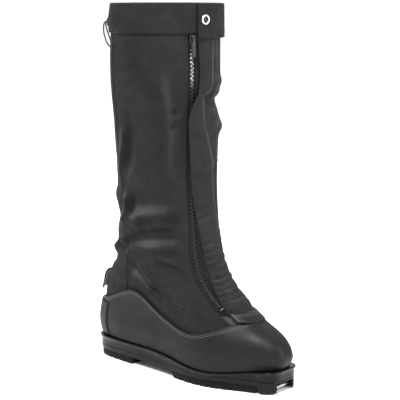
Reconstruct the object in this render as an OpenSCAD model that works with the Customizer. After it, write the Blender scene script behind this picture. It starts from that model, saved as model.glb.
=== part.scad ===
// Backcountry cross-country ski boot for the right foot, with a knee-high zipped gaiter.
// +X points to the toe, +Y to the inner side of the leg and +Z up. Millimetres.
// The origin is on the ground, under the middle of the boot.

/* [Boot] */
// Length of the upper at the sole, heel to toe
boot_l = 301; // [290:1:318]
// Width of the upper at the ball of the foot
ball_w = 100; // [94:1:106]
// Height of the gaiter's rim above the ground
boot_h = 482; // [460:1:500]

/* [Sole] */
// Thickness of the rubber tread
tread_t = 10; // [9:0.5:11]
// Thickness of the cushioning midsole
midsole_t = 7; // [6:0.5:7]
// Diameter of the steel binding bar
bar_d = 4.5; // [4:0.1:5]
// Free length of the binding bar between the cheeks
bar_free_l = 34; // [30:1:38]

/* [Gaiter] */
// Thickness of the gaiter cloth
cloth_t = 1.6; // [1.4:0.1:1.8]
// Width of the storm flap over the shin
flap_w = 42; // [36:1:42]
// Height of the collar band
collar_h = 37; // [32:1:42]
// Pitch of the zip's teeth on one tape
tooth_pitch = 5; // [4.6:0.2:6]
// Diameter of the press stud's cap
stud_cap_d = 13; // [12:0.5:14]

/* [Cords] */
// Diameter of the elastic drawcord
cord_d = 2; // [1.8:0.1:2]
// Diameter of the boot lace
lace_d = 2.2; // [2:0.1:2.4]

/* [Hidden] */

LEATHER = [0.11, 0.11, 0.12];
CLOTH = [0.15, 0.15, 0.16];
RUBBER = [0.08, 0.08, 0.08];
GLOSS = [0.05, 0.05, 0.06];
STEEL = [0.75, 0.76, 0.78];
FELT = [0.35, 0.35, 0.37];
air = 0.3; // space left between curved pieces that lie on each other

// ---- The last: one smooth surface that every part of the upper is offset from ----
// Each station is one tilted ring: back x and z, front x and z, half width,
// how foot-shaped its outline is (1 foot, 0 ellipse), and how far it dips under the ball.
STATIONS = [
    [3, 29, 304, 31, 50, 1, 10],
    [-2, 50, 309, 47, 51.5, 1, 5],
    [1, 72, 297, 66, 49, 0.96, 2],
    [7, 95, 262, 86, 46, 0.8, 0],
    [16, 118, 234, 106, 44, 0.5, 0],
    [27, 142, 211, 130, 43, 0.25, 0],
    [34, 172, 196, 162, 46, 0.08, 0],
    [38, 208, 188, 204, 52, 0, 0],
    [40, 255, 183, 254, 57, 0, 0],
    [37, 325, 183, 325, 63.5, 0, 0],
    [37, 402, 182, 402, 71, 0, 0],
    [41, 482, 182, 482, 68, 0, 0]];
x_scale = boot_l / 301;
y_scale = ball_w / 100;
z_scale = boot_h / 482;
TOE_SWING = 4; // how far the toe's tip leans to the inner side

function clamp(v, low, high) = min(max(v, low), high);
function smooth(v) = let (c = clamp(v, 0, 1)) c * c * (3 - 2 * c);
function bump(v, middle, spread) = exp(-pow((v - middle) / spread, 2));
function signed_pow(v, p) = sign(v) * pow(abs(v), p);
function unit(v) = v / norm(v);
function fixed(v) = function(any) v;
function level(h) = function(a, t) h;
// Point at share u, 0 to 1, of the Catmull-Rom curve through a list of vectors
function curve(list, u) =
    let (n = len(list) - 1, s = clamp(u, 0, 1) * n, i = min(floor(s), n - 1), f = s - i,
        p0 = list[max(i - 1, 0)], p1 = list[i], p2 = list[i + 1], p3 = list[min(i + 2, n)])
    0.5 * (2 * p1 + (p2 - p0) * f + (2 * p0 - 5 * p1 + 4 * p2 - p3) * f * f
        + (3 * p1 - p0 - 3 * p2 + p3) * f * f * f);
// Share of the full width at share u of the length, heel 0 to toe 1
function foot_width(u, side) = 0.74 + 0.26 * (side < 0 ? bump(u, 0.68, 0.2) : bump(u, 0.74, 0.17));

// How square the outline is at share u of the length, from 1 (ellipse) down: the upper's, then the sole's
function upper_power(u) = 0.78 - 0.12 * (1 - smooth(u / 0.4)) - 0.08 * smooth((u - 0.8) / 0.2);
function sole_power(u) = 0.78 - 0.26 * (1 - smooth(u / 0.35)) - 0.42 * smooth((u - 0.85) / 0.13);

// Point of the last: angle a is 0 at the toe and -90 at the outer side, t is 0 at the sole and 1 at the rim
function raw_last(a, t, power = function(u) upper_power(u)) =
    let (q = curve(STATIONS, t), foot = q[5],
        u = (1 + signed_pow(cos(a), 1 - 0.12 * foot)) / 2,
        width = 1 + (foot_width(u, sin(a)) - 1) * foot,
        swing = foot * TOE_SWING * pow(clamp((u - 0.75) / 0.25, 0, 1), 2))
    [(q[0] + (q[2] - q[0]) * u) * x_scale,
        (q[4] * signed_pow(sin(a), 1 - (1 - power(u)) * foot) * width + swing) * y_scale,
        (q[1] + (q[3] - q[1]) * u - q[6] * bump(u, 0.7, 0.2)) * z_scale];
backstay_t = 1.7;
heel_x = min([for (t = [0:0.01:0.3]) raw_last(180, t).x]) - backstay_t;
toe_x = max([for (t = [0:0.01:0.3]) raw_last(0, t).x]);
mid_x = (heel_x + toe_x) / 2;
function last(a, t) = raw_last(a, t) - [mid_x, 0, 0];
function normal(a, t) =
    let (along_a = last(a + 0.7, t) - last(a - 0.7, t),
        along_t = last(a, min(t + 0.004, 1)) - last(a, max(t - 0.004, 0)))
    unit(cross(along_a, along_t));
// Point h outside the last
function skin(a, t, h) = last(a, t) + h * normal(a, t);
// Angle at which the front of the last lies y to the side of the shin's middle
function angle_at(y, t) = asin(clamp(y / (curve(STATIONS, t)[4] * y_scale), -0.9, 0.9));
// Share t at which the shaft's front is z above the ground
FRONT = [for (t = [0.5:0.005:1.0001]) [last(0, t).z, min(t, 1)]];
function t_at(z) = lookup(z, FRONT);

// ---- Solids made from grids of points ----
function grid_faces(nu, nv, base, flip) = [for (i = [0:nu - 1], j = [0:nv - 1])
    let (p = base + i * (nv + 1) + j, q = p + 1, r = p + nv + 2, s = p + nv + 1)
    each flip ? [[p, r, q], [p, s, r]] : [[p, q, r], [p, r, s]]];
function wall_faces(path, base) = [for (k = [0:len(path) - 2])
    let (p = path[k], q = path[k + 1]) each [[p, q, q + base], [p, q + base, p + base]]];
// Sheet between an outer and an inner grid of points
module sheet(outer, inner) {
    nu = len(outer) - 1;
    nv = len(outer[0]) - 1;
    total = (nu + 1) * (nv + 1);
    edge = concat([for (j = [0:nv]) j], [for (i = [1:nu]) i * (nv + 1) + nv],
        [for (j = [nv - 1:-1:0]) nu * (nv + 1) + j], [for (i = [nu - 1:-1:0]) i * (nv + 1)]);
    polyhedron(points = concat([for (row = outer) each row], [for (row = inner) each row]),
        faces = concat(grid_faces(nu, nv, 0, true), grid_faces(nu, nv, total, false),
            wall_faces(edge, total)));
}
// Sheet on the last. The angle's limits are functions of t and t's limits are functions of the angle
module panel(a_low, a_high, t_low, t_high, h_in, h_out, na, nt) {
    t_foot = t_low(0);
    rows = [for (i = [0:nt]) [for (j = [0:na])
        let (guess = a_low(t_foot) + (a_high(t_foot) - a_low(t_foot)) * j / na,
            t = t_low(guess) + (t_high(guess) - t_low(guess)) * i / nt)
        [a_low(t) + (a_high(t) - a_low(t)) * j / na, t]]];
    sheet([for (row = rows) [for (p = row) skin(p[0], p[1], h_out(p[0], p[1]))]],
        [for (row = rows) [for (p = row) skin(p[0], p[1], h_in(p[0], p[1]))]]);
}
// Closed band round the whole last
module band(t_low, t_high, h_in, h_out, na, nt) {
    function ring(share, h) = [for (j = [0:na - 1])
        let (a = 360 * j / na) skin(a, t_low(a) + (t_high(a) - t_low(a)) * share, h)];
    rings = concat([for (i = [0:nt]) ring(i / nt, h_out)], [for (i = [nt:-1:0]) ring(i / nt, h_in)]);
    m = len(rings);
    polyhedron(points = [for (r = rings) each r],
        faces = [for (i = [0:m - 1], j = [0:na - 1])
            let (k = (j + 1) % na, n = (i + 1) % m, p = i * na + j, q = i * na + k, r = n * na + k)
            each [[p, r, q], [p, n * na + j, r]]]);
}
// Round tube swept along a list of points
module tube(path, d, sides) {
    n = len(path);
    ahead = [for (i = [0:n - 1]) unit(path[min(i + 1, n - 1)] - path[max(i - 1, 0)])];
    first = unit(cross(ahead[0], abs(ahead[0].z) < 0.9 ? [0, 0, 1] : [0, 1, 0]));
    function carried(i, v) = i < n ? unit(v - (v * ahead[i]) * ahead[i]) : v;
    across = [for (i = 0, v = first; i < n; i = i + 1, v = carried(i, v)) v];
    polyhedron(points = [for (i = [0:n - 1], k = [0:sides - 1])
            let (b = 360 * k / sides, up = cross(ahead[i], across[i]))
            path[i] + d / 2 * (cos(b) * across[i] + sin(b) * up)],
        faces = concat([[for (k = [0:sides - 1]) k]], [[for (k = [sides - 1:-1:0]) (n - 1) * sides + k]],
            [for (i = [0:n - 2], k = [0:sides - 1])
                let (p = i * sides + k, q = i * sides + (k + 1) % sides)
                each [[p, q + sides, q], [p, p + sides, q + sides]]]));
}

// ---- Sole ----
sole_edge = function(a) raw_last(a, 0, function(u) sole_power(u)) - [mid_x, 0, 0];
upper_edge = function(a) last(a, 0);
function outline(out, edge = sole_edge) = [for (a = [0:6:354])
    let (p = edge(a), d = edge(a + 1) - edge(a - 1), n = unit([d.y, -d.x])) [p.x, p.y] + out * n];
FEATHER = [for (a = [0:6:354]) last(a, 0).z];
function flat(z) = [for (z_feather = FEATHER) z];
function over_feather(dz) = [for (z_feather = FEATHER) z_feather + dz];
// Slab whose lower and upper faces have the same number of points, in facing pairs across the foot
module slab(lower, low_z, upper, high_z) {
    n = len(lower);
    function lid(k) = concat([[k, k + 1, k + n - 1]], [for (i = [1:n / 2 - 2])
        each [[k + i, k + i + 1, k + n - i - 1], [k + i, k + n - i - 1, k + n - i]]],
        [[k + n / 2 - 1, k + n / 2, k + n / 2 + 1]]);
    function turned(faces) = [for (f = faces) [f[0], f[2], f[1]]];
    polyhedron(points = concat([for (i = [0:n - 1]) [lower[i].x, lower[i].y, low_z[i]]],
            [for (i = [0:n - 1]) [upper[i].x, upper[i].y, high_z[i]]]),
        faces = concat(lid(0), turned(lid(n)),
            [for (i = [0:n - 1]) let (j = (i + 1) % n) each [[i, n + j, j], [i, n + i, n + j]]]));
}
frame_z = tread_t + midsole_t;
tread_rear_x = -2;
tread_front_x = 131;
heel_front_x = -74;
sole_end = 170;         // beyond the sole's own ends
axis_y = 3;             // the binding's middle line
groove_w = 7;           // the two grooves that the binding's ridges sit in
groove_y = 15;
groove_depth = 5;
lug_gap = 3;
lug_pitch = 14.5;
lug_depth = 4;
lug_reach = 11;         // how far the gaps between the lugs reach in
toe_z = 2;              // the toe insert clears the ground by this much

module sole_prism(z0, z1, out) translate([0, 0, z0]) linear_extrude(z1 - z0) polygon(outline(out));
// Block across the sole. Its end faces lean in by lean_0 and lean_1 at the bottom
module cross_block(x0, x1, z0, z1, lean_0, lean_1)
    translate([0, 80, 0]) rotate([90, 0, 0]) linear_extrude(160)
    polygon([[x0 + lean_0, z0], [x1 - lean_1, z0], [x1, z1], [x0, z1]]);
module grooves(x0, x1) for (s = [-1, 1])
    translate([x0, axis_y + s * groove_y - groove_w / 2, -1]) cube([x1 - x0, groove_w, groove_depth + 1]);
module lug_gaps(x0, x1, half_w) for (x = [x0:lug_pitch:x1], s = [-1, 1])
    translate([x, s * half_w - lug_reach, -1]) cube([lug_gap, 2 * lug_reach, lug_depth + 1]);
module tread_forefoot() color(RUBBER) difference() {
    intersection() {
        sole_prism(0, tread_t, -0.5);
        cross_block(tread_rear_x, tread_front_x, 0, tread_t, 10, 5);
    }
    grooves(tread_rear_x, tread_front_x + 1);
    lug_gaps(22, 110, ball_w / 2 - 4);
}
module tread_heel() color(RUBBER) difference() {
    intersection() {
        sole_prism(0, tread_t, -0.5);
        cross_block(-sole_end, heel_front_x, 0, tread_t, 0, 3);
    }
    grooves(heel_front_x - 45, heel_front_x + 1);
    lug_gaps(-134, -90, ball_w / 2 - 14);
}
module midsole() color(GLOSS) intersection() {
    sole_prism(tread_t, frame_z, 1);
    cross_block(-sole_end, tread_front_x, tread_t, frame_z, 0, 0);
}
module sole_frame() color(GLOSS) slab(outline(1), flat(frame_z), outline(2.5), over_feather(0));
bar_x = 143;
bar_z = 6.5;
bar_seat = 4;           // length of each bar end held in a cheek
jaw_room = 5;           // the binding's jaw needs this much round the bar
module bar() translate([bar_x, axis_y + bar_free_l / 2 + bar_seat, bar_z]) rotate([90, 0, 0])
    cylinder(d = bar_d, h = bar_free_l + 2 * bar_seat, $fn = 48);
module toe_insert() color(GLOSS) difference() {
    intersection() {
        sole_prism(toe_z, frame_z, 1);
        cross_block(tread_front_x, bar_x + 14, toe_z, frame_z, 0, 11);
    }
    translate([bar_x - bar_d / 2 - jaw_room, axis_y - bar_free_l / 2, 0])
        cube([40, bar_free_l, bar_z + bar_d / 2 + jaw_room]);
    bar();
    grooves(tread_front_x - 1, tread_front_x + 8);
}
module toe_bar() color(STEEL) bar();
// Spring-steel strip under the waist of the foot
function waist_row(y, dz) = [for (a = [126:-6:66]) let (p = last(a, 0)) [p.x, y, p.z + dz]];
module shank() color(STEEL)
    sheet([waist_row(8, 4), waist_row(-8, 4)], [waist_row(8, 2.9), waist_row(-8, 2.9)]);
module insole(inset, z0, z1) let (edge = outline(-inset, upper_edge))
    slab(edge, over_feather(z0), edge, over_feather(z1));
module lasting_board() color(FELT) insole(5, 0.2, 2.6);
module footbed() color(FELT) insole(10, 4.3, 8);

// ---- Moulded lower ----
shell_t = 2.2;
// Top edge of the moulded shell on the last, from the toe (0) round to the heel (180)
TRIM = [[0, 0.272], [40, 0.252], [62, 0.212], [81, 0.166], [92, 0.215], [101, 0.3], [111, 0.331],
    [124, 0.294], [145, 0.232], [180, 0.212]];
function trim_point(b) = lookup(b > 180 ? 360 - b : b, TRIM);
function trim(a) = let (b = min(abs(a), abs(360 - a)))
    (trim_point(abs(b - 4)) + 2 * trim_point(b) + trim_point(b + 4)) / 4;
module lower_shell() color(LEATHER) band(fixed(0.004), function(a) trim(a), -shell_t, 0, 60, 7);
module backstay() color(LEATHER)
    panel(fixed(144), fixed(216), fixed(0.012), fixed(0.205), level(0.1), level(backstay_t), 12, 6);
heel_tab_r = 27;
heel_tab_t = 1.4;
heel_tab_h = 25;
heel_tab_tilt = 17;     // the tab leans forward by these degrees
module heel_arc(r0, r1) linear_extrude(heel_tab_h) polygon(concat(
    [for (b = [140:5:220]) r1 * [cos(b), sin(b)]], [for (b = [220:-5:140]) r0 * [cos(b), sin(b)]]));
module heel_tab_place()
    translate([last(180, 0.215).x + heel_tab_r - 3.2, 0, 86 * z_scale])
    rotate([0, heel_tab_tilt, 0]) children();
module heel_tab() color(LEATHER) heel_tab_place() heel_arc(heel_tab_r - heel_tab_t, heel_tab_r);
module heel_tab_lining() color(FELT) heel_tab_place()
    heel_arc(heel_tab_r - heel_tab_t - 1, heel_tab_r - heel_tab_t);
puff_in = -4;
puff_out = -2.5;
module toe_puff() color(FELT)
    panel(fixed(-52), fixed(52), fixed(0.03), fixed(0.18), level(puff_in), level(puff_out), 14, 5);
module heel_counter() color(FELT)
    panel(fixed(125), fixed(235), fixed(0.03), fixed(0.15), level(puff_in), level(puff_out), 16, 4);

// ---- Gaiter ----
t_collar = t_at(boot_h - collar_h);
t_rim = 0.997;
t_hem = 0.76;           // hem of the inner side's upper panel
t_tab = 0.312;          // top of the vamp tab
tab_y = 25;
zip_y = -26;
slot_w = 9;             // the zip shows through this slot
seam_a = 120;           // angle of the two back seams
seam_gap = 0.4;         // degrees left between two panels at a seam
tuck = 2.6;             // the cloth lies this far in where it goes down inside the shell
function cloth_out(a, t) = -tuck * (1 - smooth((t - trim(a)) / 0.1));
function cloth_in(a, t) = cloth_out(a, t) - cloth_t;
function hem_start(a) = trim(a) - 0.03;
function line_at(y) = function(t) angle_at(y, t);
slot_lateral = line_at(zip_y - slot_w / 2);
slot_medial = line_at(zip_y + slot_w / 2);
module cloth_panel(a_low, a_high, t_low, t_high, na, nt) color(CLOTH)
    panel(a_low, a_high, t_low, t_high, function(a, t) cloth_in(a, t), function(a, t) cloth_out(a, t),
        na, nt);
module gaiter_lateral() cloth_panel(fixed(-seam_a), slot_lateral, function(a) hem_start(a), fixed(1), 12, 26);
module gaiter_back() cloth_panel(fixed(seam_a), fixed(360 - seam_a - seam_gap),
    function(a) hem_start(a), fixed(1), 12, 22);
module gaiter_medial()
    cloth_panel(slot_medial, fixed(seam_a - seam_gap), fixed(t_hem + 0.001), fixed(1), 14, 8);
module gaiter_front()
    cloth_panel(slot_medial, line_at(flap_w / 2 - 0.5), fixed(0.245), fixed(t_hem), 6, 17);
module stretch_panel() cloth_panel(line_at(flap_w / 2), fixed(seam_a - seam_gap),
    function(a) hem_start(a), fixed(t_hem), 10, 17);
vamp_tab_t = 1.7;
module vamp_tab() color(LEATHER) panel(line_at(-tab_y), line_at(tab_y), fixed(0.262), fixed(t_tab),
    level(air), level(air + vamp_tab_t), 12, 3);

// Collar band: a second layer round the rim, with the drawcord's tunnel behind it
band_in = 2.8;
band_out = 4.2;
around = function(t) 360 + angle_at(zip_y - slot_w / 2, t);
// The band's outer end runs over the zip and stops just short of the band's own beginning
band_end = function(t) 360 + angle_at(zip_y + slot_w / 2 - 0.5, t);
module collar_band() color(CLOTH) difference() {
    panel(slot_medial, band_end, fixed(t_collar), fixed(t_rim), level(band_in), level(band_out), 30, 4);
    at_lock() rotate([0, 90, 0]) cylinder(r = grommet_r + 0.05, h = 20, $fn = 36);
}
module hem_tape() color(CLOTH) for (t = [t_collar, t_rim - 0.007])
    panel(slot_medial, around, fixed(t), fixed(t + 0.006), level(2 * air), level(band_in - 0.5), 30, 1);

// ---- Storm flap and its fasteners ----
t_split = 0.86;         // above this the storm flap folds open with the collar tab
flap_in = 2.2;
flap_out = 3.8;
tab_lift = 1.6;         // the collar tab stands this far off the flap, over the band
function flap_base(a, t) = max(cloth_out(a, t), -1);
module on_flap(y0, y1, t0, t1, h0, h1, na, nt) panel(line_at(y0), line_at(y1), fixed(t0), fixed(t1),
    function(a, t) flap_base(a, t) + h0, function(a, t) flap_base(a, t) + h1, na, nt);
module storm_flap_lower() color(CLOTH)
    on_flap(-flap_w / 2, flap_w / 2, t_tab + 0.003, t_split - 0.002, flap_in, flap_out, 8, 20);
module storm_flap_upper() color(CLOTH)
    on_flap(-flap_w / 2, flap_w / 2, t_split, t_collar - 0.006, flap_in, flap_out, 8, 4);
function tab_rise(t) = air + flap_out + tab_lift * smooth((t - t_collar + 0.03) / 0.024);
collar_tab_t = 1.5;
module collar_tab() color(CLOTH)
    panel(line_at(-flap_w / 2), line_at(flap_w / 2), fixed(t_collar - 0.014), fixed(0.999),
    function(a, t) tab_rise(t), function(a, t) tab_rise(t) + collar_tab_t, 8, 6);
module flap_seam_tape() color(CLOTH)
    on_flap(flap_w / 2 - 5, flap_w / 2 - 0.5, t_tab + 0.02, t_split - 0.004, air, flap_in - air, 1, 18);
strip_w = 16;
module loop_strip() color(RUBBER)
    on_flap(-strip_w / 2, strip_w / 2, t_tab + 0.02, t_collar - 0.02, 0.2, 0.8, 4, 20);
module hook_strip_lower() color(RUBBER)
    on_flap(-strip_w / 2, strip_w / 2, t_tab + 0.02, t_split - 0.004, 1.3, flap_in - 0.2, 4, 18);
module hook_strip_upper() color(RUBBER)
    on_flap(-strip_w / 2, strip_w / 2, t_split, t_collar - 0.02, 1.3, flap_in - 0.2, 4, 4);
stud_y = -12;
t_stud = t_at(boot_h - 20);
// Places children with +Z along the outward normal at the press stud
module at_stud() {
    n = normal(angle_at(stud_y, t_stud), t_stud);
    translate(last(angle_at(stud_y, t_stud), t_stud)) rotate([0, acos(n.z), atan2(n.y, n.x)]) children();
}
tab_in = air + flap_out + tab_lift;
module stud_cap() color(STEEL) at_stud() translate([0, 0, tab_in + collar_tab_t + 0.3]) difference() {
    cylinder(d = stud_cap_d, h = 1.6, $fn = 48);
    translate([0, 0, 0.8]) cylinder(d = stud_cap_d - 4, h = 1, $fn = 48);
}
module stud_socket() color(STEEL) at_stud() translate([0, 0, tab_in - 0.7]) difference() {
    cylinder(d = 8.5, h = 0.55, $fn = 36);
    translate([0, 0, -1]) cylinder(d = 4.6, h = 3, $fn = 36);
}
module stud_post() color(STEEL) at_stud() {
    translate([0, 0, band_out + 0.05]) cylinder(d = 7.5, h = 0.5, $fn = 36);
    translate([0, 0, band_out + 0.05]) cylinder(d = 3.8, h = tab_in - band_out - 0.35, $fn = 36);
}

// ---- Zip ----
t_zip_top = t_collar + 0.024;
t_zip_end = 0.335;
tape_w = 10;
module zip_tape(y0, y1) color(CLOTH) panel(line_at(y0), line_at(y1), fixed(0.3), fixed(0.995),
    function(a, t) cloth_in(a, t) - 1.1, function(a, t) cloth_in(a, t) - air, 3, 24);
module zip_tape_lateral() zip_tape(zip_y - tape_w, zip_y - 0.3);
module zip_tape_medial() zip_tape(zip_y + 0.3, zip_y + tape_w);
// Point of the zip's middle line, h above the back of the cloth
function zip_point(t, h) = let (a = angle_at(zip_y, t)) skin(a, t, cloth_in(a, t) + h);
zip_cuts = 200;
ZIP_TS = [for (i = [0:zip_cuts]) t_zip_top + (t_zip_end - t_zip_top) * i / zip_cuts];
ZIP_RUN = [for (i = 0, s = 0; i <= zip_cuts;
    i = i + 1,
    s = s + (i > zip_cuts ? 0 : norm(zip_point(ZIP_TS[i], 0) - zip_point(ZIP_TS[i - 1], 0))))
    [s, ZIP_TS[i]]];
zip_l = ZIP_RUN[zip_cuts][0];
// Places children s below the zip's top, with +X to the outer side, +Y down the zip and +Z outward
module at_zip(s) {
    t = lookup(s, ZIP_RUN);
    above = zip_point(lookup(max(s - 3, 0), ZIP_RUN), 0);
    below = zip_point(lookup(min(s + 3, zip_l), ZIP_RUN), 0);
    down = unit(below - above);
    m = normal(angle_at(zip_y, t), t);
    n = unit(m - (m * down) * down);
    side = cross(down, n);
    p = zip_point(t, 0);
    multmatrix([[side.x, down.x, n.x, p.x], [side.y, down.y, n.y, p.y],
        [side.z, down.z, n.z, p.z], [0, 0, 0, 1]]) children();
}
tooth_t = 2;
tooth_h = 2.2;
module zip_teeth(dir, shift) color(GLOSS) for (s = [shift:tooth_pitch:zip_l - 1]) at_zip(s)
    translate([dir > 0 ? -0.5 : -2.3, -tooth_t / 2, 0]) cube([2.8, tooth_t, tooth_h]);
module zip_teeth_lateral() zip_teeth(1, 3);
module zip_teeth_medial() zip_teeth(-1, 3 + tooth_pitch / 2);
module zip_top_stops() color(GLOSS) for (s = [-1, 1]) at_zip(0)
    translate([s * 1.6 - 1.2, -2, 0]) cube([2.4, 2.6, 2.6]);
module zip_bottom_stop() color(GLOSS) at_zip(zip_l) translate([-2.8, 1, 0]) cube([5.6, 3.6, 2.8]);
slider_s = 30;          // rest place of the slider, below the zip's top
slider_l = 12;
slider_w = 8.4;
slider_z = 3;           // underside of the slider's plate
slider_t = 1.2;
pin_z = slider_z + slider_t + 1.6;
pin_y = -2;
module cross_pin(d, l) translate([-l / 2, pin_y, pin_z]) rotate([0, 90, 0]) cylinder(d = d, h = l, $fn = 24);
module zip_slider() color(GLOSS) at_zip(slider_s) difference() {
    union() {
        translate([-slider_w / 2, -slider_l / 2, slider_z]) cube([slider_w, slider_l, slider_t]);
        for (s = [-1, 1]) translate([s * 3.5 - 0.5, -slider_l / 2, 1]) cube([1, slider_l, slider_z - 1]);
        for (s = [-1, 1]) translate([s * 2.4 - 0.6, pin_y - 1.6, slider_z + slider_t]) cube([1.2, 3.2, 3.2]);
    }
    cross_pin(1.8, 12);
}
pull_l = 24;
pull_w = 6;
module zip_pull() color(GLOSS) at_zip(slider_s) {
    cross_pin(1.7, 6);
    translate([-1.5, pin_y, pin_z - 0.7]) cube([3, 6.5, 1.4]);
    translate([-pull_w / 2, pin_y + 4.5, pin_z - 0.7]) cube([pull_w, pull_l - 4.5, 1.4]);
}

// ---- Inner boot ----
inner_in = -8;
inner_out = -5.5;
t_throat = 0.36;
t_cuff = 0.6;
throat_y = 13;
tongue_y = 21;
padding_y = tongue_y + 2;   // the cuff's padding ends beside the tongue
module inner_vamp() color(FELT) band(fixed(0.06), fixed(t_throat), inner_in, inner_out, 48, 6);
function back_round(y) = function(t) 360 + angle_at(-y, t);
module inner_cuff() color(FELT)
    panel(line_at(throat_y), back_round(throat_y), fixed(t_throat + 0.002), fixed(t_cuff),
    level(inner_in), level(inner_out), 28, 7);
module cuff_padding() color(FELT)
    panel(line_at(padding_y), back_round(padding_y), fixed(0.545), fixed(t_cuff),
    level(inner_in - 5), level(inner_in - air), 28, 2);
module tongue() color(FELT) panel(line_at(-tongue_y), line_at(tongue_y), fixed(0.4), fixed(0.64),
    level(inner_in - 3.6), level(inner_in - 0.6), 6, 8);
LACE_TS = [for (i = [0:6]) 0.39 + 0.033 * i];
lace_y = throat_y + 4;
module lace() color(GLOSS) tube([for (i = [0:6], k = [-1:0.25:1])
    let (y = (i % 2 == 0 ? -k : k) * lace_y, t = LACE_TS[i])
    skin(angle_at(y, t), t, inner_out + lace_d / 2 + 0.5)], lace_d, 8);
module lace_loops() color(STEEL) for (t = LACE_TS, s = [-1, 1]) {
    a = angle_at(s * (lace_y + 5), t);
    n = normal(a, t);
    translate(skin(a, t, inner_out + air)) rotate([0, acos(n.z), atan2(n.y, n.x)]) difference() {
        cylinder(d = 6, h = 1.2, $fn = 24);
        translate([0, 0, -1]) cylinder(d = 3, h = 4, $fn = 24);
    }
}

// ---- Drawcord and its lock, at the back of the rim ----
t_cord = t_at(boot_h - 24);
cord_h = 1.5;           // the cord runs this far outside the cloth, in the collar's tunnel
lock_a = 194;
grommet_r = 3.2;
grommet_bore_r = 2.7;
strand = cord_d / 2 + 0.15; // each of the two strands lies this far to the side
cord_exit = 4.8;        // the strands come out of the collar this far outside the cloth
lock_d = 10.4;
lock_x = 10.6;          // middle of the lock's barrel, outside the cloth
// Places children at the drawcord's exit, with +X straight out of the gaiter and +Z up
lock_turn = let (n = normal(lock_a, t_cord)) atan2(n.y, n.x);
module at_lock() translate(last(lock_a, t_cord)) rotate([0, 0, lock_turn]) children();
function lock_point(p) = last(lock_a, t_cord)
    + [p.x * cos(lock_turn) - p.y * sin(lock_turn), p.x * sin(lock_turn) + p.y * cos(lock_turn), p.z];
BEND = [[1.55, 4], [1.65, 2.6], [1.9, 1.6], [2.4, strand], [3.2, strand], [cord_exit, strand]];
CORD_END_A = 334;       // the cord's far ends are sewn in beside the zip
cord_span = 3.5;        // degrees from the exit to where the cord follows the rim
module hem_cord(dir, a_end) tube(concat(
    [for (k = [0:24]) skin(a_end + (lock_a + dir * cord_span - a_end) * k / 24, t_cord, cord_h)],
    [for (p = BEND) lock_point([p.x, dir * p.y, 0])]), cord_d, 8);
module drawcord_hem() color(GLOSS) {
    hem_cord(1, CORD_END_A);
    hem_cord(-1, -12);
}
module cord_grommet() color(STEEL) at_lock() rotate([0, 90, 0]) difference() {
    union() {
        translate([0, 0, band_in]) cylinder(r = grommet_r, h = band_out - band_in + 0.6, $fn = 36);
        translate([0, 0, band_out + 0.2]) cylinder(r = grommet_r + 1.6, h = 0.4, $fn = 36);
    }
    cylinder(r = grommet_bore_r, h = 20, $fn = 36);
}
module in_lock() at_lock() translate([lock_x, 0, 0]) children();
module cord_way(z0, z1)
    translate([-lock_d, -2 * strand - 0.1, z0]) cube([2 * lock_d, 4 * strand + 0.2, z1 - z0]);
module cord_lock_body() color(GLOSS) in_lock() difference() {
    translate([0, 0, -6.5]) cylinder(d = lock_d, h = 11, $fn = 48);
    translate([0, 0, -4.9]) cylinder(d = lock_d - 2.6, h = 20, $fn = 48);
    cord_way(-1.2, 1.2);
}
module cord_lock_button() color(GLOSS) in_lock() difference() {
    translate([0, 0, -2.2]) cylinder(d = lock_d - 2.7, h = 10.4, $fn = 48);
    cord_way(-1.1, 3.4);
}
module cord_lock_spring() color(STEEL) in_lock()
    tube([for (b = [0:30:900]) [2.6 * cos(b), 2.6 * sin(b), -4.5 + 1.9 * b / 900]], 0.5, 8);
// One half of the free loop, from the collar through the lock to the loop's bottom: out, to the side and up
HALF_LOOP = [[4.8, -1.15, 0], [10, -1.15, 0], [15.4, -1.2, 0], [17.8, -1.5, -0.8], [19.3, -2.2, -3],
    [19.7, -3.2, -6.5], [19, -4.6, -12], [17.6, -5.6, -17.5], [15.6, -6, -23], [13.6, -5, -28.5],
    [12.2, -2.8, -32.2], [11.8, 0, -33.4]];
LOOP = concat(HALF_LOOP, [for (i = [len(HALF_LOOP) - 2:-1:0])
    [HALF_LOOP[i].x, -HALF_LOOP[i].y, HALF_LOOP[i].z]]);
module drawcord_loop() color(GLOSS) tube([for (k = [0:44]) lock_point(curve(LOOP, k / 44))], cord_d, 8);

tread_forefoot();
tread_heel();
midsole();
sole_frame();
toe_insert();
toe_bar();
shank();
lasting_board();
footbed();
lower_shell();
backstay();
heel_tab();
heel_tab_lining();
toe_puff();
heel_counter();
vamp_tab();
gaiter_lateral();
gaiter_back();
gaiter_medial();
gaiter_front();
stretch_panel();
collar_band();
hem_tape();
storm_flap_lower();
storm_flap_upper();
collar_tab();
flap_seam_tape();
loop_strip();
hook_strip_lower();
hook_strip_upper();
stud_cap();
stud_socket();
stud_post();
zip_tape_lateral();
zip_tape_medial();
zip_teeth_lateral();
zip_teeth_medial();
zip_top_stops();
zip_bottom_stop();
zip_slider();
zip_pull();
inner_vamp();
inner_cuff();
cuff_padding();
tongue();
lace();
lace_loops();
drawcord_hem();
drawcord_loop();
cord_grommet();
cord_lock_body();
cord_lock_button();
cord_lock_spring();
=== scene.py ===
"""The looks of the cross-country ski boot: its cloth, leather, rubber, metal and stitching, built
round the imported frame. Lengths in this file are millimetres in the frame's axes (+X to the toe,
+Y to the inner side of the leg, +Z up) and become metres when a mesh is made."""

import math

import bmesh
import bpy
import numpy as np
from mathutils import Matrix, Vector


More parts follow.
